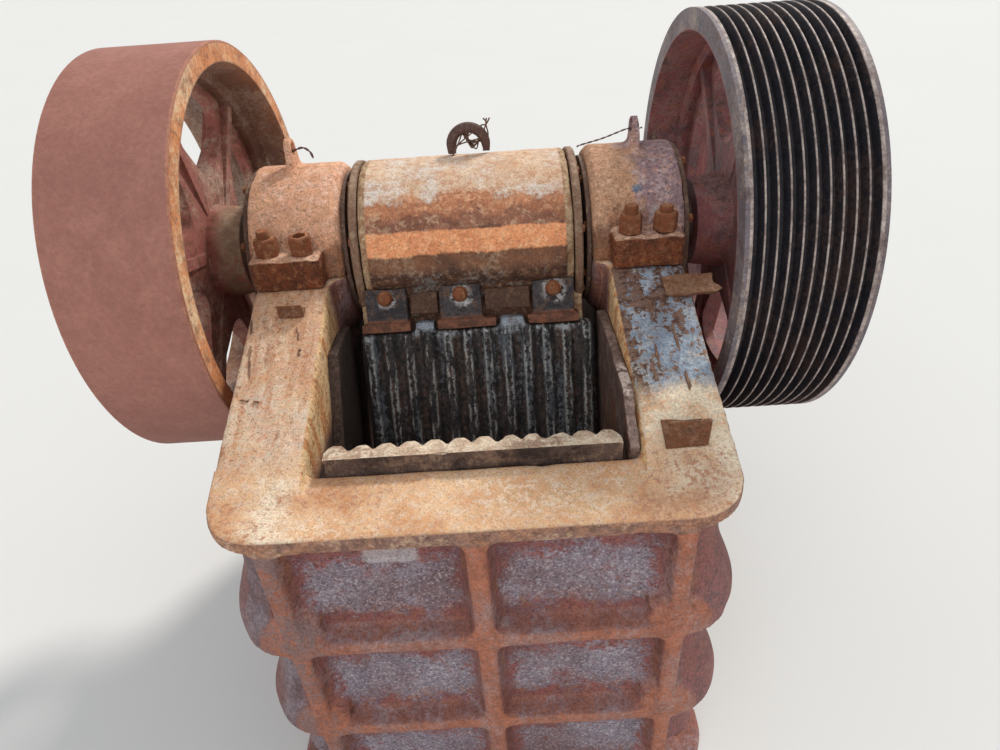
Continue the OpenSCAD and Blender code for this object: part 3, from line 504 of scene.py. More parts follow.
def head_material():
    s = Surface("head_casting")
    rise = s.z - HEAD.z
    broad, small = s.noise(10, 5), s.noise(60, shift=6.0)
    mid = s.noise(26, 4, shift=3.0, stretch=(0.8, 1, 1))
    wavy = (broad - 0.5) * 0.15 + (s.grain - 0.5) * 0.06
    rust = s.coat(
        s.tones((198, 134, 98), (172, 110, 80), mid),
        ((222, 168, 128), small, 0.26, 0.1, 0.8), ((130, 82, 60), broad, 0.2, 0.1, 0.8))
    pale = s.coat(
        s.tones((232, 202, 172), (216, 174, 138), mid),
        ((224, 216, 208), broad, 0.34, 0.12, 0.8), ((192, 136, 100), small, 0.24, 0.1, 0.7),
        ((122, 84, 64), s.speck.step(0.59, 0.66) * 0.7))
    band = s.coat(
        s.tones((162, 110, 86), (134, 88, 70), mid, 0.14),
        ((196, 158, 128), small, 0.24, 0.09, 0.8), ((88, 60, 50), broad, 0.22, 0.1, 0.8))
    lower = s.coat(
        s.tones((106, 72, 55), (80, 57, 47), mid, 0.16),
        ((154, 118, 90), small, 0.2, 0.1, 0.7), ((136, 130, 126), broad, 0.14, 0.08, 0.8))
    ends = s.tones((192, 164, 130), (150, 112, 84), small, 0.14)
    deep_down = s.tones((92, 66, 54), (68, 52, 46), mid)
    # The hump's face: rusty orange, made brighter as a painted highlight where light falls on it
    painted_lit_hump = s.coat(s.tones((242, 164, 114), (220, 142, 98), mid, 0.16),
                    ((240, 186, 140), small, 0.24, 0.12, 0.7))
    # Under the hump: brown, darkened as painted shade
    painted_hump_shade = s.coat(s.tones((132, 88, 64), (102, 70, 54), mid, 0.16),
                 ((160, 134, 108), broad, 0.22, 0.12, 0.7))
    paint = s.coat(
        lower, (painted_hump_shade, (rise + wavy * 0.35).step(0.016, 0.034)),
        (painted_lit_hump, (rise + wavy * 0.15).step(0.06, 0.067)),
        (band, (rise + wavy * 0.08).step(0.107, 0.112)),
        (rust, (rise + wavy * 0.8).step(0.128, 0.145)),
        (pale, (rise + wavy * 0.7).step(0.165, 0.182)),
        (ends, abs(s.x).step(0.238, 0.244)),
        ((230, 198, 158), s.edge * s.part(mid, 0.6, 0.17) * 0.8),
        ((66, 46, 40), s.hollow * 0.75), (deep_down, rise.step(-0.12, -0.18)))
    return s.done(paint, 0.68, height=s.cast_skin(mid), depth=0.0035)


def plate_material():
    """Dark manganese steel with pale streaks along the teeth."""
    s = Surface("jaw_plate_steel")
    teeth, left = 12, end_of("moving_jaw_plate", "x", -1)
    pitch = (end_of("moving_jaw_plate", "x") - left) / teeth
    rise = s.z - JAW_TOP.z
    tooth = abs(((s.x - left) / pitch).op("FRACT") - 0.5) * pitch
    frayed = tooth + (s.grain - 0.5) * 0.02 + (s.speck - 0.5) * 0.01
    ridge = frayed.between(0.005, 0.01, 0.002)
    long = s.noise(16, detail=5, rough=0.7, stretch=(3, 0.5, 0.5))
    torn = s.noise(26, detail=6, rough=0.7, stretch=(2.2, 0.4, 0.4), shift=3.0)
    more = s.x.step(-0.1, 0.3) * 0.05
    streak = (torn + more).step(0.46, 0.56) * ridge
    bluish = (s.noise(9, detail=6, rough=0.72, stretch=(3.0, 0.35, 0.35), shift=8.0) + (s.grain - 0.5) * 0.5
              + more * 1.1).step(0.56, 0.62)
    top = rise.step(-0.007, 0.005)
    paint = s.coat(
        s.tones((42, 39, 40), (68, 61, 59), long, 0.14),
        ((92, 68, 56), torn, 0.24, 0.1, 0.8),
        ((106, 111, 118), bluish * 0.6), ((172, 172, 168), streak * 0.85),
        ((34, 31, 32), s.speck.step(0.57, 0.64) * 0.7),
        ((148, 150, 152),
         rise.step(-0.027, -0.011) * s.part(torn, 0.4, 0.09) * s.ny.step(-0.2, -0.6)),
        (s.mix((150, 158, 168), (112, 108, 108), s.part(torn, 0.4, 0.1)), top))
    return s.done(paint, 0.58, 0.3, metal=0.1, depth=0.0018, mottle=1.5)


def fixed_plate_material():
    """Brown teeth under a tan top with pale edges."""
    s = Surface("fixed_plate_steel")
    mid, small = s.noise(14, stretch=(0.5, 1, 1)), s.noise(36, shift=4.0)
    top = s.nz.step(0.5, 0.85)
    side = s.coat(
        s.tones((102, 84, 76), (70, 56, 52), mid, 0.14),
        ((136, 112, 94), small, 0.22, 0.09, 0.8), ((44, 36, 34), mid, 0.14, 0.09, 0.8))
    tan_top = s.coat(s.tones((218, 200, 176), (186, 160, 136), small, 0.14),
                     ((140, 110, 92), mid, 0.2, 0.07, 0.8))
    high = (s.z - end_of("fixed_jaw_plate", "z")).step(-0.04, -0.01)
    paint = s.coat(side, (tan_top, top), ((208, 186, 162), s.edge * s.part(small, 0.6, 0.17) * high))
    return s.done(paint, 0.55, metal=0.2, depth=0.002)


def cheek_material():
    s = Surface("cheek_plate_steel")
    mid, small = s.noise(12, stretch=(1, 1, 0.5)), s.noise(24, shift=4.0)
    top = s.nz.step(0.4, 0.8)
    paint = s.coat(
        s.tones((104, 82, 74), (80, 64, 60), mid),
        ((146, 130, 122), small, 0.2, 0.14, 0.6), ((128, 84, 62), mid, 0.22, 0.12, 0.7),
        ((150, 128, 118), top * s.part(mid, 0.6, 0.18) * 0.8),
        ((206, 186, 174), top * s.y.between(-0.31, -0.2, 0.02) * s.part(small, 0.6, 0.14)),
        ((172, 148, 134), s.edge * s.part(small, 0.5, 0.2) * 0.7))
    return s.done(paint, 0.5, 0.25, metal=0.2, depth=0.002)


def wheel_rim(node):
    """A wheel's outer radius and the distances of its rim's two edges from the machine's middle."""
    near, far = sorted(abs(end_of(node, "x", side)) for side in (-1, 1))
    return round(end_of(node, "y") - SHAFT.y, 4), near, far


def flywheel_material():
    s = Surface("flywheel_rust", bevel=0.005)
    r, ax = s.reach(SHAFT), abs(s.x)
    rim_r, near, far = wheel_rim("flywheel_left")
    broad, mid, small = s.noise(5), s.noise(12, shift=3.0), s.noise(30, shift=6.0)
    tread = r.step(rim_r - 0.007, rim_r - 0.004)
    skin = s.coat(
        s.mix((164, 111, 98), (152, 101, 89), s.part(broad, 0.5, 0.24, 0.2)),
        ((180, 126, 110), s.part(mid, 0.28, 0.2, 0.3) * 0.5),
        ((132, 86, 79), s.speck.step(0.54, 0.64) * 0.45),
        ((190, 140, 122), s.speck.step(0.44, 0.36) * 0.35),
        ((186, 120, 94), ax.step(far - 0.007, far).either(ax.step(near + 0.006, near)) * 0.5))
    rim = s.coat(
        s.tones((218, 146, 96), (190, 116, 72), mid, 0.16),
        ((236, 212, 174), broad, 0.3, 0.14, 0.8), ((132, 82, 58), small, 0.22, 0.1, 0.7))
    dusty = s.coat(
        s.tones((138, 102, 82), (114, 82, 68), mid, 0.2),
        ((168, 148, 134), broad, 0.42, 0.17, 0.8),
        ((94, 66, 54), s.speck.step(0.56, 0.64) * 0.8))
    spoke = s.coat(
        s.tones((172, 108, 96), (150, 86, 76), mid),
        ((196, 172, 150), broad, 0.38, 0.14, 0.8), ((122, 78, 60), small, 0.24, 0.09, 0.8))
    hub = s.coat(s.tones((178, 154, 128), (152, 124, 102), small, 0.14),
                 ((180, 104, 90), s.part(broad, 0.3, 0.1)))
    face = r.step(rim_r - 0.051, rim_r - 0.043) * tread.outside()
    paint = s.coat(
        spoke, (hub, r.step(0.142, 0.128) * ax.step(0.66, 0.62)),
        (dusty, r.step(rim_r - 0.081, rim_r - 0.073)), (rim, face), (skin, tread),
        ((218, 164, 116), s.edge * s.part(small, 0.5, 0.14) * tread.either(face)),
        ((190, 158, 136), s.edge * tread.outside() * s.part(mid, 0.4, 0.14) * 0.6))
    return s.done(paint, 0.62, depth=0.0016, mottle=0.6)


def sheave_material():
    s = Surface("sheave_iron", bevel=0.003)
    r, ax = s.reach(SHAFT), abs(s.x)
    rim_r, near, far = wheel_rim("drive_sheave")
    broad, mid, small = s.noise(7), s.noise(14, shift=3.0), s.noise(34, shift=6.0)
    groove = s.coat(s.tones((34, 33, 40), (46, 42, 47), mid, 0.2),
                    ((70, 54, 50), broad, 0.2, 0.12, 0.8))
    land = s.tones((182, 166, 158), (122, 106, 102), small)
    side = s.coat(
        s.tones((124, 114, 117), (102, 95, 102), mid),
        ((98, 74, 70), small, 0.24, 0.12, 0.8), ((168, 152, 140), broad, 0.2, 0.12, 0.6))
    inside = s.coat(
        s.tones((156, 98, 98), (130, 82, 84), mid),
        ((164, 138, 134), broad, 0.32, 0.14, 0.8), ((160, 104, 78), small, 0.18, 0.09, 0.8),
        ((96, 86, 88), mid, 0.2, 0.1, 0.7), ((80, 56, 56), broad, 0.1, 0.09, 0.7))
    outer = r.step(rim_r - 0.0255, rim_r - 0.0215)
    edges = (ax.step(near + 0.0105, near + 0.0085).either(ax.step(far - 0.0095, far - 0.0075))
             * r.step(rim_r - 0.045, rim_r - 0.041))
    flanks = ax.step(near + 0.002, near + 0.005) * ax.step(far - 0.0015, far - 0.0045)
    face = r.step(rim_r - 0.049, rim_r - 0.041) * flanks.outside()
    paint = s.coat(inside, (groove, outer * flanks), (land, r.step(rim_r - 0.002, rim_r - 0.0008)),
                   (side, edges.either(face)))
    return s.done(paint, 0.5, metal=0.1, depth=0.0014)


def rust_material(name, light, dark, pale, cover=0.2, rough=0.65, bevel=0.003, **finish):
    """Plain rusty steel in three tones."""
    s = Surface(name, bevel=bevel)
    mid, small = s.noise(38), s.noise(110, shift=4.0)
    paint = s.coat(
        s.tones(light, dark, mid, 0.2),
        (dark, small, 0.3, 0.14, 0.6), (pale, mid, cover, 0.17, 0.5),
        (pale, s.nz.step(0.75, 0.95) * s.part(mid, 0.7, 0.2) * 0.5),
        (pale, s.edge * s.part(small, 0.6, 0.2) * 0.7))
    return s.done(paint, rough, **finish)


def clamp_material():
    """Dark clamps with pale paint round the bolts and rusty noses along the plate's top edge."""
    s = Surface("clamp_steel")
    mid, small = s.noise(26), s.noise(46, shift=4.0)
    paint = s.coat(s.tones((54, 49, 52), (74, 68, 70), mid),
                   ((98, 74, 60), small, 0.22, 0.08, 0.8))
    pale = s.tones((196, 192, 190), (150, 144, 142), small, 0.14)
    for x, size in zip(CLAMP_X, (0.022, 0.027, 0.03)):
        ring = s.spot(tuple(jaw_point(x + 0.004, CLAMP_FACE, CLAMP_BOLT_Z - 0.006)), size, 0.25)
        paint = s.coat(paint, (pale, ring * s.part(mid, 0.66, 0.04)))
    nose = (s.z + (s.y - 0.04) * 0.35).step(1.098, 1.09)
    rusty = s.tones((128, 82, 62), (90, 60, 48), small, 0.14)
    paint = s.coat(paint, (rusty, nose), ((146, 112, 90), s.edge * s.part(small, 0.4, 0.14)))
    return s.done(paint, 0.6, metal=0.1, depth=0.002)


def floor_material():
    s = Surface("studio_floor", bevel=0.001)
    paint = s.mix((222, 221, 219), (218, 217, 214), s.noise(0.6))
    return s.done(paint, 0.9, grainy=0, height=s.noise(40), depth=0.0002, spec=0.2, mottle=0.0)


# Pieces

def mesh_object(name, bm, material, smooth=30.0):
    """A mesh in the scene, its faces smooth up to an angle in degrees."""
    mesh = bpy.data.meshes.new(name)
    bmesh.ops.recalc_face_normals(bm, faces=bm.faces)
    bm.to_mesh(mesh)
    bm.free()
    obj = bpy.data.objects.new(name, mesh)
    scene.collection.objects.link(obj)
    mesh.materials.append(material)
    if smooth:
        mesh.shade_smooth()
        mesh.set_sharp_from_angle(angle=math.radians(smooth))
    return obj


def piece(name, bm, material, body, replaces=(), smooth=30.0):
    """A mesh that rides a body, in place of CAD nodes."""
    obj = mesh_object(name, bm, material, smooth)
    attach(obj, body)
    if replaces:
        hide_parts(*replaces)


def bumps(points, size, seed):
    """Smooth noise from -1 to 1 at the points, its lumps about the given size across."""
    grid = points / size + 0.37 * seed
    cell = np.floor(grid).astype(np.int64)
    t = grid - cell
    t = t * t * (3 - 2 * t)
    total = np.zeros(len(points))
    for corner in itertools.product((0, 1), repeat=3):
        c = cell + np.array(corner)
        mixed = (c[:, 0] * 73856093) ^ (c[:, 1] * 19349663) ^ (c[:, 2] * 83492791) ^ (seed * 2971215073)
        value = (mixed * 2654435761 & 0xFFFFFFFF) / 0x7FFFFFFF - 1.0
        total += value * np.prod(np.where(corner, t, 1 - t), axis=1)
    return total


def relax(points, edges, passes):
    """Moves each point halfway to the middle of its neighbours, again and again."""
    count = np.bincount(edges.ravel(), minlength=len(points))[:, None]
    for _ in range(passes):
        near = np.zeros_like(points)
        for axis in range(3):
            near[:, axis] = (np.bincount(edges[:, 0], points[edges[:, 1], axis], len(points))
                             + np.bincount(edges[:, 1], points[edges[:, 0], axis], len(points)))
        points = points + 0.5 * (near / count - points)
    return points


def read_rows(items, what, width, kind=float):
    """One row of numbers for each vertex or edge of a mesh."""
    rows = np.empty(len(items) * width, dtype=kind)
    items.foreach_get(what, rows)
    return rows.reshape(-1, width)


def casting(name, sources, voxel, material, body, stands_for, seed, cuts=(), passes=3,
            lumps=(0.0012, 0.0007), chips=0, chip_depth=0.004):
    """A rough casting in place of CAD nodes: their union with rounded edges, uneven skin and chipped edges.

    Each cut is a point and the direction of what is left out, so that neighbours made of the same union meet
    without a groove.
    """
    bm = bmesh.new()
    for source in sources:
        bm.from_mesh(nodes[source].data)
    mesh = bpy.data.meshes.new("rough")
    bm.to_mesh(mesh)
    bm.free()
    rough = bpy.data.objects.new("rough", mesh)
    scene.collection.objects.link(rough)
    remesh = rough.modifiers.new("skin", "REMESH")
    remesh.mode = "VOXEL"
    remesh.voxel_size = voxel
    skin = bpy.data.meshes.new_from_object(rough.evaluated_get(bpy.context.evaluated_depsgraph_get()))
    bpy.data.objects.remove(rough)
    points = read_rows(skin.vertices, "co", 3)
    edges = read_rows(skin.edges, "vertices", 2, np.int32)
    low = np.min([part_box(s)[0] for s in sources], axis=0)
    high = np.max([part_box(s)[1] for s in sources], axis=0)
    soft = relax(points, edges, passes)
    skin.vertices.foreach_set("co", soft.ravel())
    skin.update()
    normals = read_rows(skin.vertices, "normal", 3)
    push = lumps[0] * bumps(soft, 0.11, seed) + lumps[1] * bumps(soft, 0.035, seed + 1) - 0.4 * sum(lumps)
    if chips:
        rng = np.random.default_rng(seed)
        rounding = np.einsum("ij,ij->i", points - relax(points, edges, 2 * passes), normals)
        worn = np.flatnonzero(rounding > 0.22 * voxel)
        for at in rng.choice(worn, chips, replace=False):
            size = rng.uniform(0.008, 0.026)
            far = np.linalg.norm(soft - soft[at], axis=1) / size
            push -= chip_depth * rng.uniform(0.4, 1.0) * np.exp(-far ** 2)
    soft = np.clip(soft + push[:, None] * normals, low, high)
    skin.vertices.foreach_set("co", soft.ravel())
    bm = bmesh.new()
    bm.from_mesh(skin)
    bpy.data.meshes.remove(skin)
    for at, out in cuts:
        bmesh.ops.bisect_plane(bm, geom=bm.verts[:] + bm.edges[:] + bm.faces[:], plane_co=at, plane_no=out,
                               clear_outer=True)
        rim = [e for e in bm.edges if e.is_boundary]
        bmesh.ops.triangle_fill(bm, use_beauty=True, edges=rim)
    piece(name, bm, material, body, stands_for, smooth=60.0)


def facing(axis):
    """The turn that sets upright things along an axis."""
    return Vector(axis).to_track_quat("Z", "Y").to_matrix().to_4x4()


def lathe(bm, profile, at, axis=(0, 0, 1), n=24, turn=0.0, wobble=0.0, rng=None):
    """Adds a solid of revolution, its profile given as (radius, height) from foot to top."""
    place = Matrix.Translation(at) @ facing(axis) @ Matrix.Rotation(turn, 4, "Z")
    rings = []
    for r, h in profile:
        ring = []
        for k in range(n):
            a = 2 * math.pi * k / n
            rr = r * (1 + wobble * (rng.random() - 0.5)) if rng and r > 0 else r
            ring.append(bm.verts.new(place @ Vector((rr * math.cos(a), rr * math.sin(a), h))))
            if r == 0:
                break
        rings.append(ring)
    for lo, hi in zip(rings, rings[1:]):
        for k in range(n):
            corners = [lo[k % len(lo)], lo[(k + 1) % len(lo)], hi[(k + 1) % len(hi)], hi[k % len(hi)]]
            corners = list(dict.fromkeys(corners))
            if len(corners) > 2:
                bm.faces.new(corners)
    for ring in (rings[0][::-1], rings[-1]):
        if len(ring) > 2:
            bm.faces.new(ring)


def hex_profile(across, h, foot=0.0):
    """Profile of a hexagon head or nut, worn round at the top, with a washer of the given width under it."""
    r = across / 2 / math.cos(math.pi / 6)
    top = [(r * 0.985, 0.0), (r, h * 0.1), (r, h * 0.84), (r * 0.95, h * 0.94), (r * 0.84, h), (0, h)]
    return top if not foot else [(r + foot, 0.0), (r + foot, h * 0.14), (r * 0.99, h * 0.15)] + top[1:]


def thread_profile(r, h, pitch):
    """Profile of a thread's ridges up to a chamfered end."""
    out = [(r * 0.9, 0.0)]
    for i in range(int(h / pitch)):
        out += [(r * 0.9, (i + 0.1) * pitch), (r, (i + 0.5) * pitch)]
    return out + [(r * 0.9, h - pitch * 0.4), (r * 0.8, h), (0, h)]


def tube(bm, points, radius, n=8, lumps=0.0, rng=None, flat=1.0):
    """Adds a round bar along a line of points."""
    pts = [Vector(p) for p in points]
    up = Vector((0.13, 0.2, 1.0)).normalized()
    rings = []
    for i, p in enumerate(pts):
        t = (pts[min(i + 1, len(pts) - 1)] - pts[max(i - 1, 0)]).normalized()
        side = t.cross(up)
        side = side.normalized() if side.length > 0.05 else t.orthogonal().normalized()
        rise = side.cross(t)
        grow = 1 + (rng.uniform(-lumps, lumps) if rng else 0)
        if lumps and i in (0, len(pts) - 1):
            grow = 0.45
        rings.append([bm.verts.new(p + radius * grow * (math.cos(w) * side + flat * math.sin(w) * rise))
                      for w in (2 * math.pi * k / n for k in range(n))])
    for lo, hi in zip(rings, rings[1:]):
        for k in range(n):
            bm.faces.new([lo[k], lo[(k + 1) % n], hi[(k + 1) % n], hi[k]])
    for ring in (rings[0][::-1], rings[-1]):
        bm.faces.new(ring)


def smooth_line(points, per=6):
    """A Catmull-Rom line through the points."""
    pts = [Vector(p) for p in points]
    pts = [2 * pts[0] - pts[1]] + pts + [2 * pts[-1] - pts[-2]]
    out = []
    for i in range(1, len(pts) - 2):
        a, b, c, d = pts[i - 1:i + 3]
        for k in range(per):
            t = k / per
            out.append(0.5 * (2 * b + (c - a) * t + (2 * a - 5 * b + 4 * c - d) * t * t
                              + (3 * b - a - 3 * c + d) * t ** 3))
    return out + [pts[-2]]


def cap_nuts(side, word, material):
    """A cap's four studs with heavy nuts, a little askew. One stud ends inside its nut."""
    rng = random.Random(20 + side)
    bm = bmesh.new()
    sunk, thread_pitch = 0.012, 0.0035
    for x, y in itertools.product(STUD_X, STUD_Y):
        at = Vector((side * x, y, NUT_FOOT))
        hollow = side < 0 and x == STUD_X[0] and y == STUD_Y[0]
        nut = hex_profile(NUT_ACROSS, NUT_H)
        if hollow:
            nut = nut[:-1] + [(STUD_R, NUT_H), (STUD_R, NUT_H - sunk), (0, NUT_H - sunk)]
        lathe(bm, nut, at, n=6, turn=rng.uniform(0, 1.05), wobble=0.03, rng=rng)
        if not hollow:
            thread = thread_profile(STUD_R, STUD_RISE * rng.uniform(0.55, 1.0), thread_pitch)
            lathe(bm, thread, at + Vector((0, 0, NUT_H - 0.002)), n=20, wobble=0.03, rng=rng)
    piece("cap_nuts_" + word, bm, material, "root", ("cap_studs_" + word,))


def screw_ring(bm, x, out, r, h, rng, centre=SHAFT, across=0.018, count=8):
    """Hexagon screws in a ring on a face at x, a little sunk, their heads pointing along X."""
    first, sunk = 20, Vector((0.0005 * out, 0, 0))
    for k in range(count):
        at = about_shaft(x, r, first + k * 360 / count, centre) - sunk
        lathe(bm, hex_profile(across, h, foot=0.0025), at, axis=(out, 0, 0), n=6,
              turn=rng.uniform(0, 1.0), wobble=0.02, rng=rng)


def twisted(bm, points, wire=0.0016, turns=90.0):
    """Two strands of wire twisted round each other along a line."""
    line = smooth_line(points, 10)
    for half in (0.0, math.pi):
        strand = []
        way = 0.0
        for i, p in enumerate(line):
            t = (line[min(i + 1, len(line) - 1)] - line[max(i - 1, 0)]).normalized()
            side = t.orthogonal().normalized()
            rise = t.cross(side)
            way += (p - line[i - 1]).length if i else 0.0
            a = half + way * turns * 2
            strand.append(p + wire * 1.05 * (math.cos(a) * side + math.sin(a) * rise))
        tube(bm, strand, wire, n=6)


def weld_remains(material):
    """Broken remains of weld beads on the sloping arms, along lines given as (x, y)."""
    rng = random.Random(8)
    bm = bmesh.new()
    for line in (
        [(-0.508, -0.030), (-0.494, -0.128), (-0.477, -0.244)],
        [(-0.398, -0.061), (-0.386, -0.109), (-0.380, -0.155)],
        [(-0.494, -0.243), (-0.470, -0.248), (-0.445, -0.251)],
        [(0.417, -0.046), (0.407, -0.157), (0.404, -0.234)],
        [(0.452, -0.120), (0.455, -0.200), (0.456, -0.286)],
    ):
        path = smooth_line([(x, y, arm_z(y) + 0.0005) for x, y in line], 9)
        start = 0
        while start < len(path) - 3:
            stop = min(len(path), start + rng.randint(4, 9))
            run = [p + Vector((rng.uniform(-1, 1), rng.uniform(-1, 1), 0)) * 0.0015 for p in path[start:stop]]
            if len(run) > 2:
                tube(bm, run, rng.uniform(0.0018, 0.0034), n=8, lumps=0.5, rng=rng, flat=0.7)
            start = stop + rng.randint(0, 4)
    piece("weld_remains", bm, material, "root")


def wall_casting(name, sources, stands_for, cuts, voxel=0.0105, chips=0):
    casting(name, sources, voxel, frame_paint, "root", (stands_for,), seed=3, cuts=cuts, chips=chips)


def frame_and_caps():
    """The frame's four walls in one rough skin, cut where they meet, with both caps and their nuts."""
    walls = ("front_wall", "side_wall_left", "side_wall_right", "rear_wall")
    wall_back = (0, WALL_Y, 0)
    in_front = (wall_back, (0, -1, 0))
    wall_casting("front_casting", walls[:3], "front_wall", [(wall_back, (0, 1, 0))], voxel=0.0075, chips=90)
    for side, word in SIDES:
        wall_casting("side_casting_" + word, walls, "side_wall_" + word,
                     [in_front, ((side * REAR_X, 0, 0), (-side, 0, 0))])
        cap = "bearing_cap_" + word
        casting("cap_casting_" + word, [cap], 0.0052, finishes[cap], "root", (cap,), seed=7 + side,
                chips=30, chip_depth=0.003)
        cap_nuts(side, word, deep)
    wall_casting("rear_casting", walls, "rear_wall",
                 [in_front] + [((side * REAR_X, 0, 0), (side, 0, 0)) for side, _ in SIDES])


def worn_steel():
    """Rough skins for the jaw, its plates, clamps and keys, and for what is welded on the arms."""
    casting("jaw_casting", ["swing_jaw"], 0.0080, finishes["swing_jaw"], "jaw", ("swing_jaw",),
            seed=11, chips=40, chip_depth=0.003)
    for node, voxel, body, slot, chips in (
        ("moving_jaw_plate", 0.0055, "jaw", "jaw_plates", 160),
        ("fixed_jaw_plate", 0.0050, "root", "jaw_plates", 60),
        ("cheek_plate_right", 0.0060, "root", "jaw_plates", 20),
        ("jaw_clamps", 0.0032, "jaw", "steel", 24),
        ("jaw_keys", 0.0032, "jaw", "steel", 14),
        ("bracket_right", 0.0025, "root", "frame", 8),
        ("bracket_left", 0.0022, "root", "frame", 6),
        ("bar_stub_right", 0.0028, "root", "frame", 10),
        ("jaw_lifting_ring", 0.0025, "jaw", "jaw_casting", 8),
    ):
        casting("worn_" + node, [node], voxel, finishes[node], body, (node,), seed=31, passes=2,
                lumps=(0.0008, 0.0008), chips=chips, chip_depth=0.0035)


def cut_cheek():
    """The left cheek plate, worn back along a slanting line."""
    node = "cheek_plate_left"
    slant = ((0, -0.120, 1.026), (0, -0.848, 0.530))
    casting("worn_" + node, [node], 0.0060, finishes[node], "root", (node,), seed=33, passes=2,
            cuts=[slant], chips=16)


def screws(rng):
    """Rings of screws on the bearing covers, on the jaw's end covers and on the shaft's end plates."""
    for side, word in SIDES:
        bm = bmesh.new()
        covers = "bearing_covers_right"
        screw_ring(bm, side * end_of(covers, "x"), side, 0.198, 0.010, rng)
        screw_ring(bm, side * end_of(covers, "x", -1), -side, 0.165, 0.006, rng)
        piece("cover_screws_" + word, bm, deep, "root")
    bm = bmesh.new()
    for side, _ in SIDES:
        screw_ring(bm, side * end_of("jaw_end_covers", "x"), side, 0.203, 0.0055, rng, HEAD)
    piece("head_cover_screws", bm, deep, "jaw")
    bm = bmesh.new()
    for side, _ in SIDES:
        screw_ring(bm, side * end_of("shaft_end_plates", "x"), side, 0.052, 0.014, rng, across=0.030, count=3)
    piece("end_plate_screws", bm, deep, "shaft")


def clamp_bolts(rng):
    """Round bolt heads on washers, square to the clamps' faces."""
    head = [(0.0195, 0), (0.0195, 0.003), (0.0165, 0.0045), (0.0168, 0.012), (0.013, 0.0165), (0.006, 0.018),
            (0, 0.018)]
    out = jaw_point(0, -1, 0) - jaw_point(0, 0, 0)
    bm = bmesh.new()
    for x in CLAMP_X:
        lathe(bm, head, jaw_point(x, CLAMP_FACE + 0.001, CLAMP_BOLT_Z), axis=out, n=14, wobble=0.12, rng=rng)
    piece("clamp_bolt_heads", bm, deep, "jaw", ("jaw_clamp_bolts",))


def grease_nipples():
    """A nipple near the outer end of each cap, square to its round."""
    nipple = [(0.0065, 0), (0.0065, 0.007), (0.0042, 0.008), (0.0038, 0.014), (0.0026, 0.0155),
              (0.0034, 0.018), (0.0022, 0.0205), (0, 0.0205)]
    bm = bmesh.new()
    for x, y, z in ((-0.516, 0.377, 1.400), (0.500, 0.376, 1.398)):
        up = Vector((0, y - SHAFT.y, z - SHAFT.z)).normalized()
        lathe(bm, nipple, SHAFT + Vector((x, 0, 0)) + up * (HOUSING_R - 0.0005), axis=up, n=12)
    piece("grease_nipples", bm, dull, "root")


def lug_wires():
    """A twisted wire end through each cap's lifting lug."""
    bm = bmesh.new()
    twisted(bm, [(-0.456, 0.312, 1.452), (-0.445, 0.316, 1.4425), (-0.4315, 0.319, 1.4415),
                 (-0.418, 0.324, 1.4465), (-0.401, 0.330, 1.448), (-0.386, 0.330, 1.437),
                 (-0.381, 0.330, 1.4205)])
    twisted(bm, [(0.452, 0.313, 1.446), (0.4315, 0.318, 1.4408), (0.417, 0.326, 1.4417),
                 (0.358, 0.330, 1.4214), (0.303, 0.330, 1.4085), (0.291, 0.331, 1.4040)], wire=0.0012)
    piece("lug_tie_wires", bm, wire, "root")


def ring_wires(rng):
    """Three tangled wires on the jaw's lifting ring, wound about a middle."""
    middle = Vector((0.030, 0.352, 1.444))
    start = [(-0.026, 0.338, 1.4005), (-0.012, 0.340, 1.425)]
    bm = bmesh.new()
    for loop in range(3):
        knot = list(start)
        for turn in range(9):
            a, r = turn * 2.2 + loop, rng.uniform(0.014, 0.036)
            knot.append(middle + Vector((r * math.cos(a), rng.uniform(-0.012, 0.010), r * math.sin(a))))
        tail = [(0.064, 0.350, 1.470), (0.058 + loop * 0.008, 0.346, 1.486)]
        tube(bm, smooth_line(knot + tail, 8), 0.0019, n=6)
    piece("ring_tie_wire", bm, wire, "jaw")


# Stage

make_camera()
make_light()
floor_bm = bmesh.new()
bmesh.ops.create_grid(floor_bm, x_segments=8, y_segments=8, size=30.0)
mesh_object("floor", floor_bm, floor_material(), smooth=0)

# Finishes

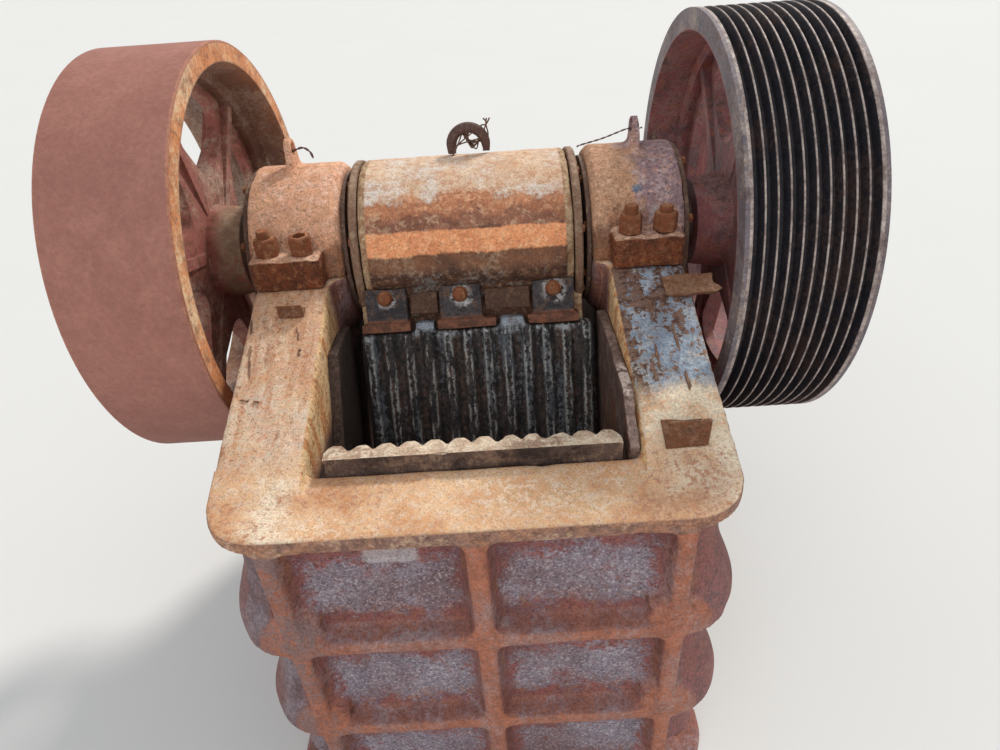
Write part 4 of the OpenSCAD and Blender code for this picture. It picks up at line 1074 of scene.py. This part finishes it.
frame_paint = frame_material()
bare = rust_material("shaft_steel", (104, 84, 76), (80, 64, 58), (146, 128, 116), metal=0.3, rough=0.5)
deep = rust_material("deep_rust", (138, 78, 48), (94, 53, 35), (196, 140, 98), cover=0.15, depth=0.0008,
                     bevel=0.0015, mottle=0.55)
slag = rust_material("weld_slag", (120, 86, 68), (86, 62, 52), (160, 122, 96), bevel=0.001)
wire = rust_material("tie_wire", (108, 76, 63), (76, 54, 47), (140, 106, 86), bevel=0.0003)
dull = rust_material("nipple_steel", (128, 108, 92), (92, 76, 66), (176, 158, 138), bevel=0.0005, metal=0.4)
finishes = {}
for material, group in (
    (frame_paint, "front_wall side_wall_left side_wall_right rear_wall"),
    (bare, "main_bearings toggle_seat_rear eccentric_shaft shaft_end_plates jaw_bearings toggle_seat_jaw"),
    (bare, "tension_rod"),
    (deep, "cap_studs_left cap_studs_right jaw_clamp_bolts tension_nuts"),
    (cap_material(False), "bearing_cap_left"),
    (cap_material(True), "bearing_cap_right"),
    (head_material(), "swing_jaw"),
    (plate_material(), "moving_jaw_plate"),
    (fixed_plate_material(), "fixed_jaw_plate"),
    (cheek_material(), "cheek_plate_right"),
    (flywheel_material(), "flywheel_left"),
    (sheave_material(), "drive_sheave"),
    (clamp_material(), "jaw_clamps"),
    (rust_material("brown_steel", (128, 88, 66), (94, 62, 48), (162, 122, 94)),
     "toggle_block toggle_shims toggle_plate tension_spring"),
    (rust_material("tan_rust", (138, 105, 84), (106, 77, 61), (180, 154, 128), cover=0.25), "jaw_end_covers"),
    (rust_material("cover_paint", (106, 79, 66), (78, 59, 51), (156, 130, 110), cover=0.15),
     "bearing_covers_left bearing_covers_right"),
    (rust_material("bracket_rust", (124, 80, 54), (92, 58, 42), (170, 128, 98), bevel=0),
     "bracket_left bracket_right"),
    (rust_material("pale_rust", (132, 88, 64), (98, 65, 49), (158, 122, 94), cover=0.25, bevel=0),
     "bar_stub_right"),
    (rust_material("key_rust", (92, 64, 50), (64, 47, 39), (136, 100, 74), cover=0.2, bevel=0), "jaw_keys"),
    # Left cheek plate: dark rusted steel, darkened further as painted shade
    (rust_material("cheek_rust_and_painted_shade", (72, 57, 51), (50, 41, 38), (104, 84, 74), bevel=0), "cheek_plate_left"),
    (rust_material("ring_rust", (98, 72, 66), (72, 54, 50), (132, 104, 92), bevel=0), "jaw_lifting_ring"),
):
    for node in group.split():
        finishes[node] = material
        nodes[node].data.materials.clear()
        nodes[node].data.materials.append(material)

# The crusher

frame_and_caps()
worn_steel()
cut_cheek()
rng = random.Random(5)
screws(rng)
clamp_bolts(rng)
grease_nipples()
weld_remains(slag)
lug_wires()
ring_wires(rng)
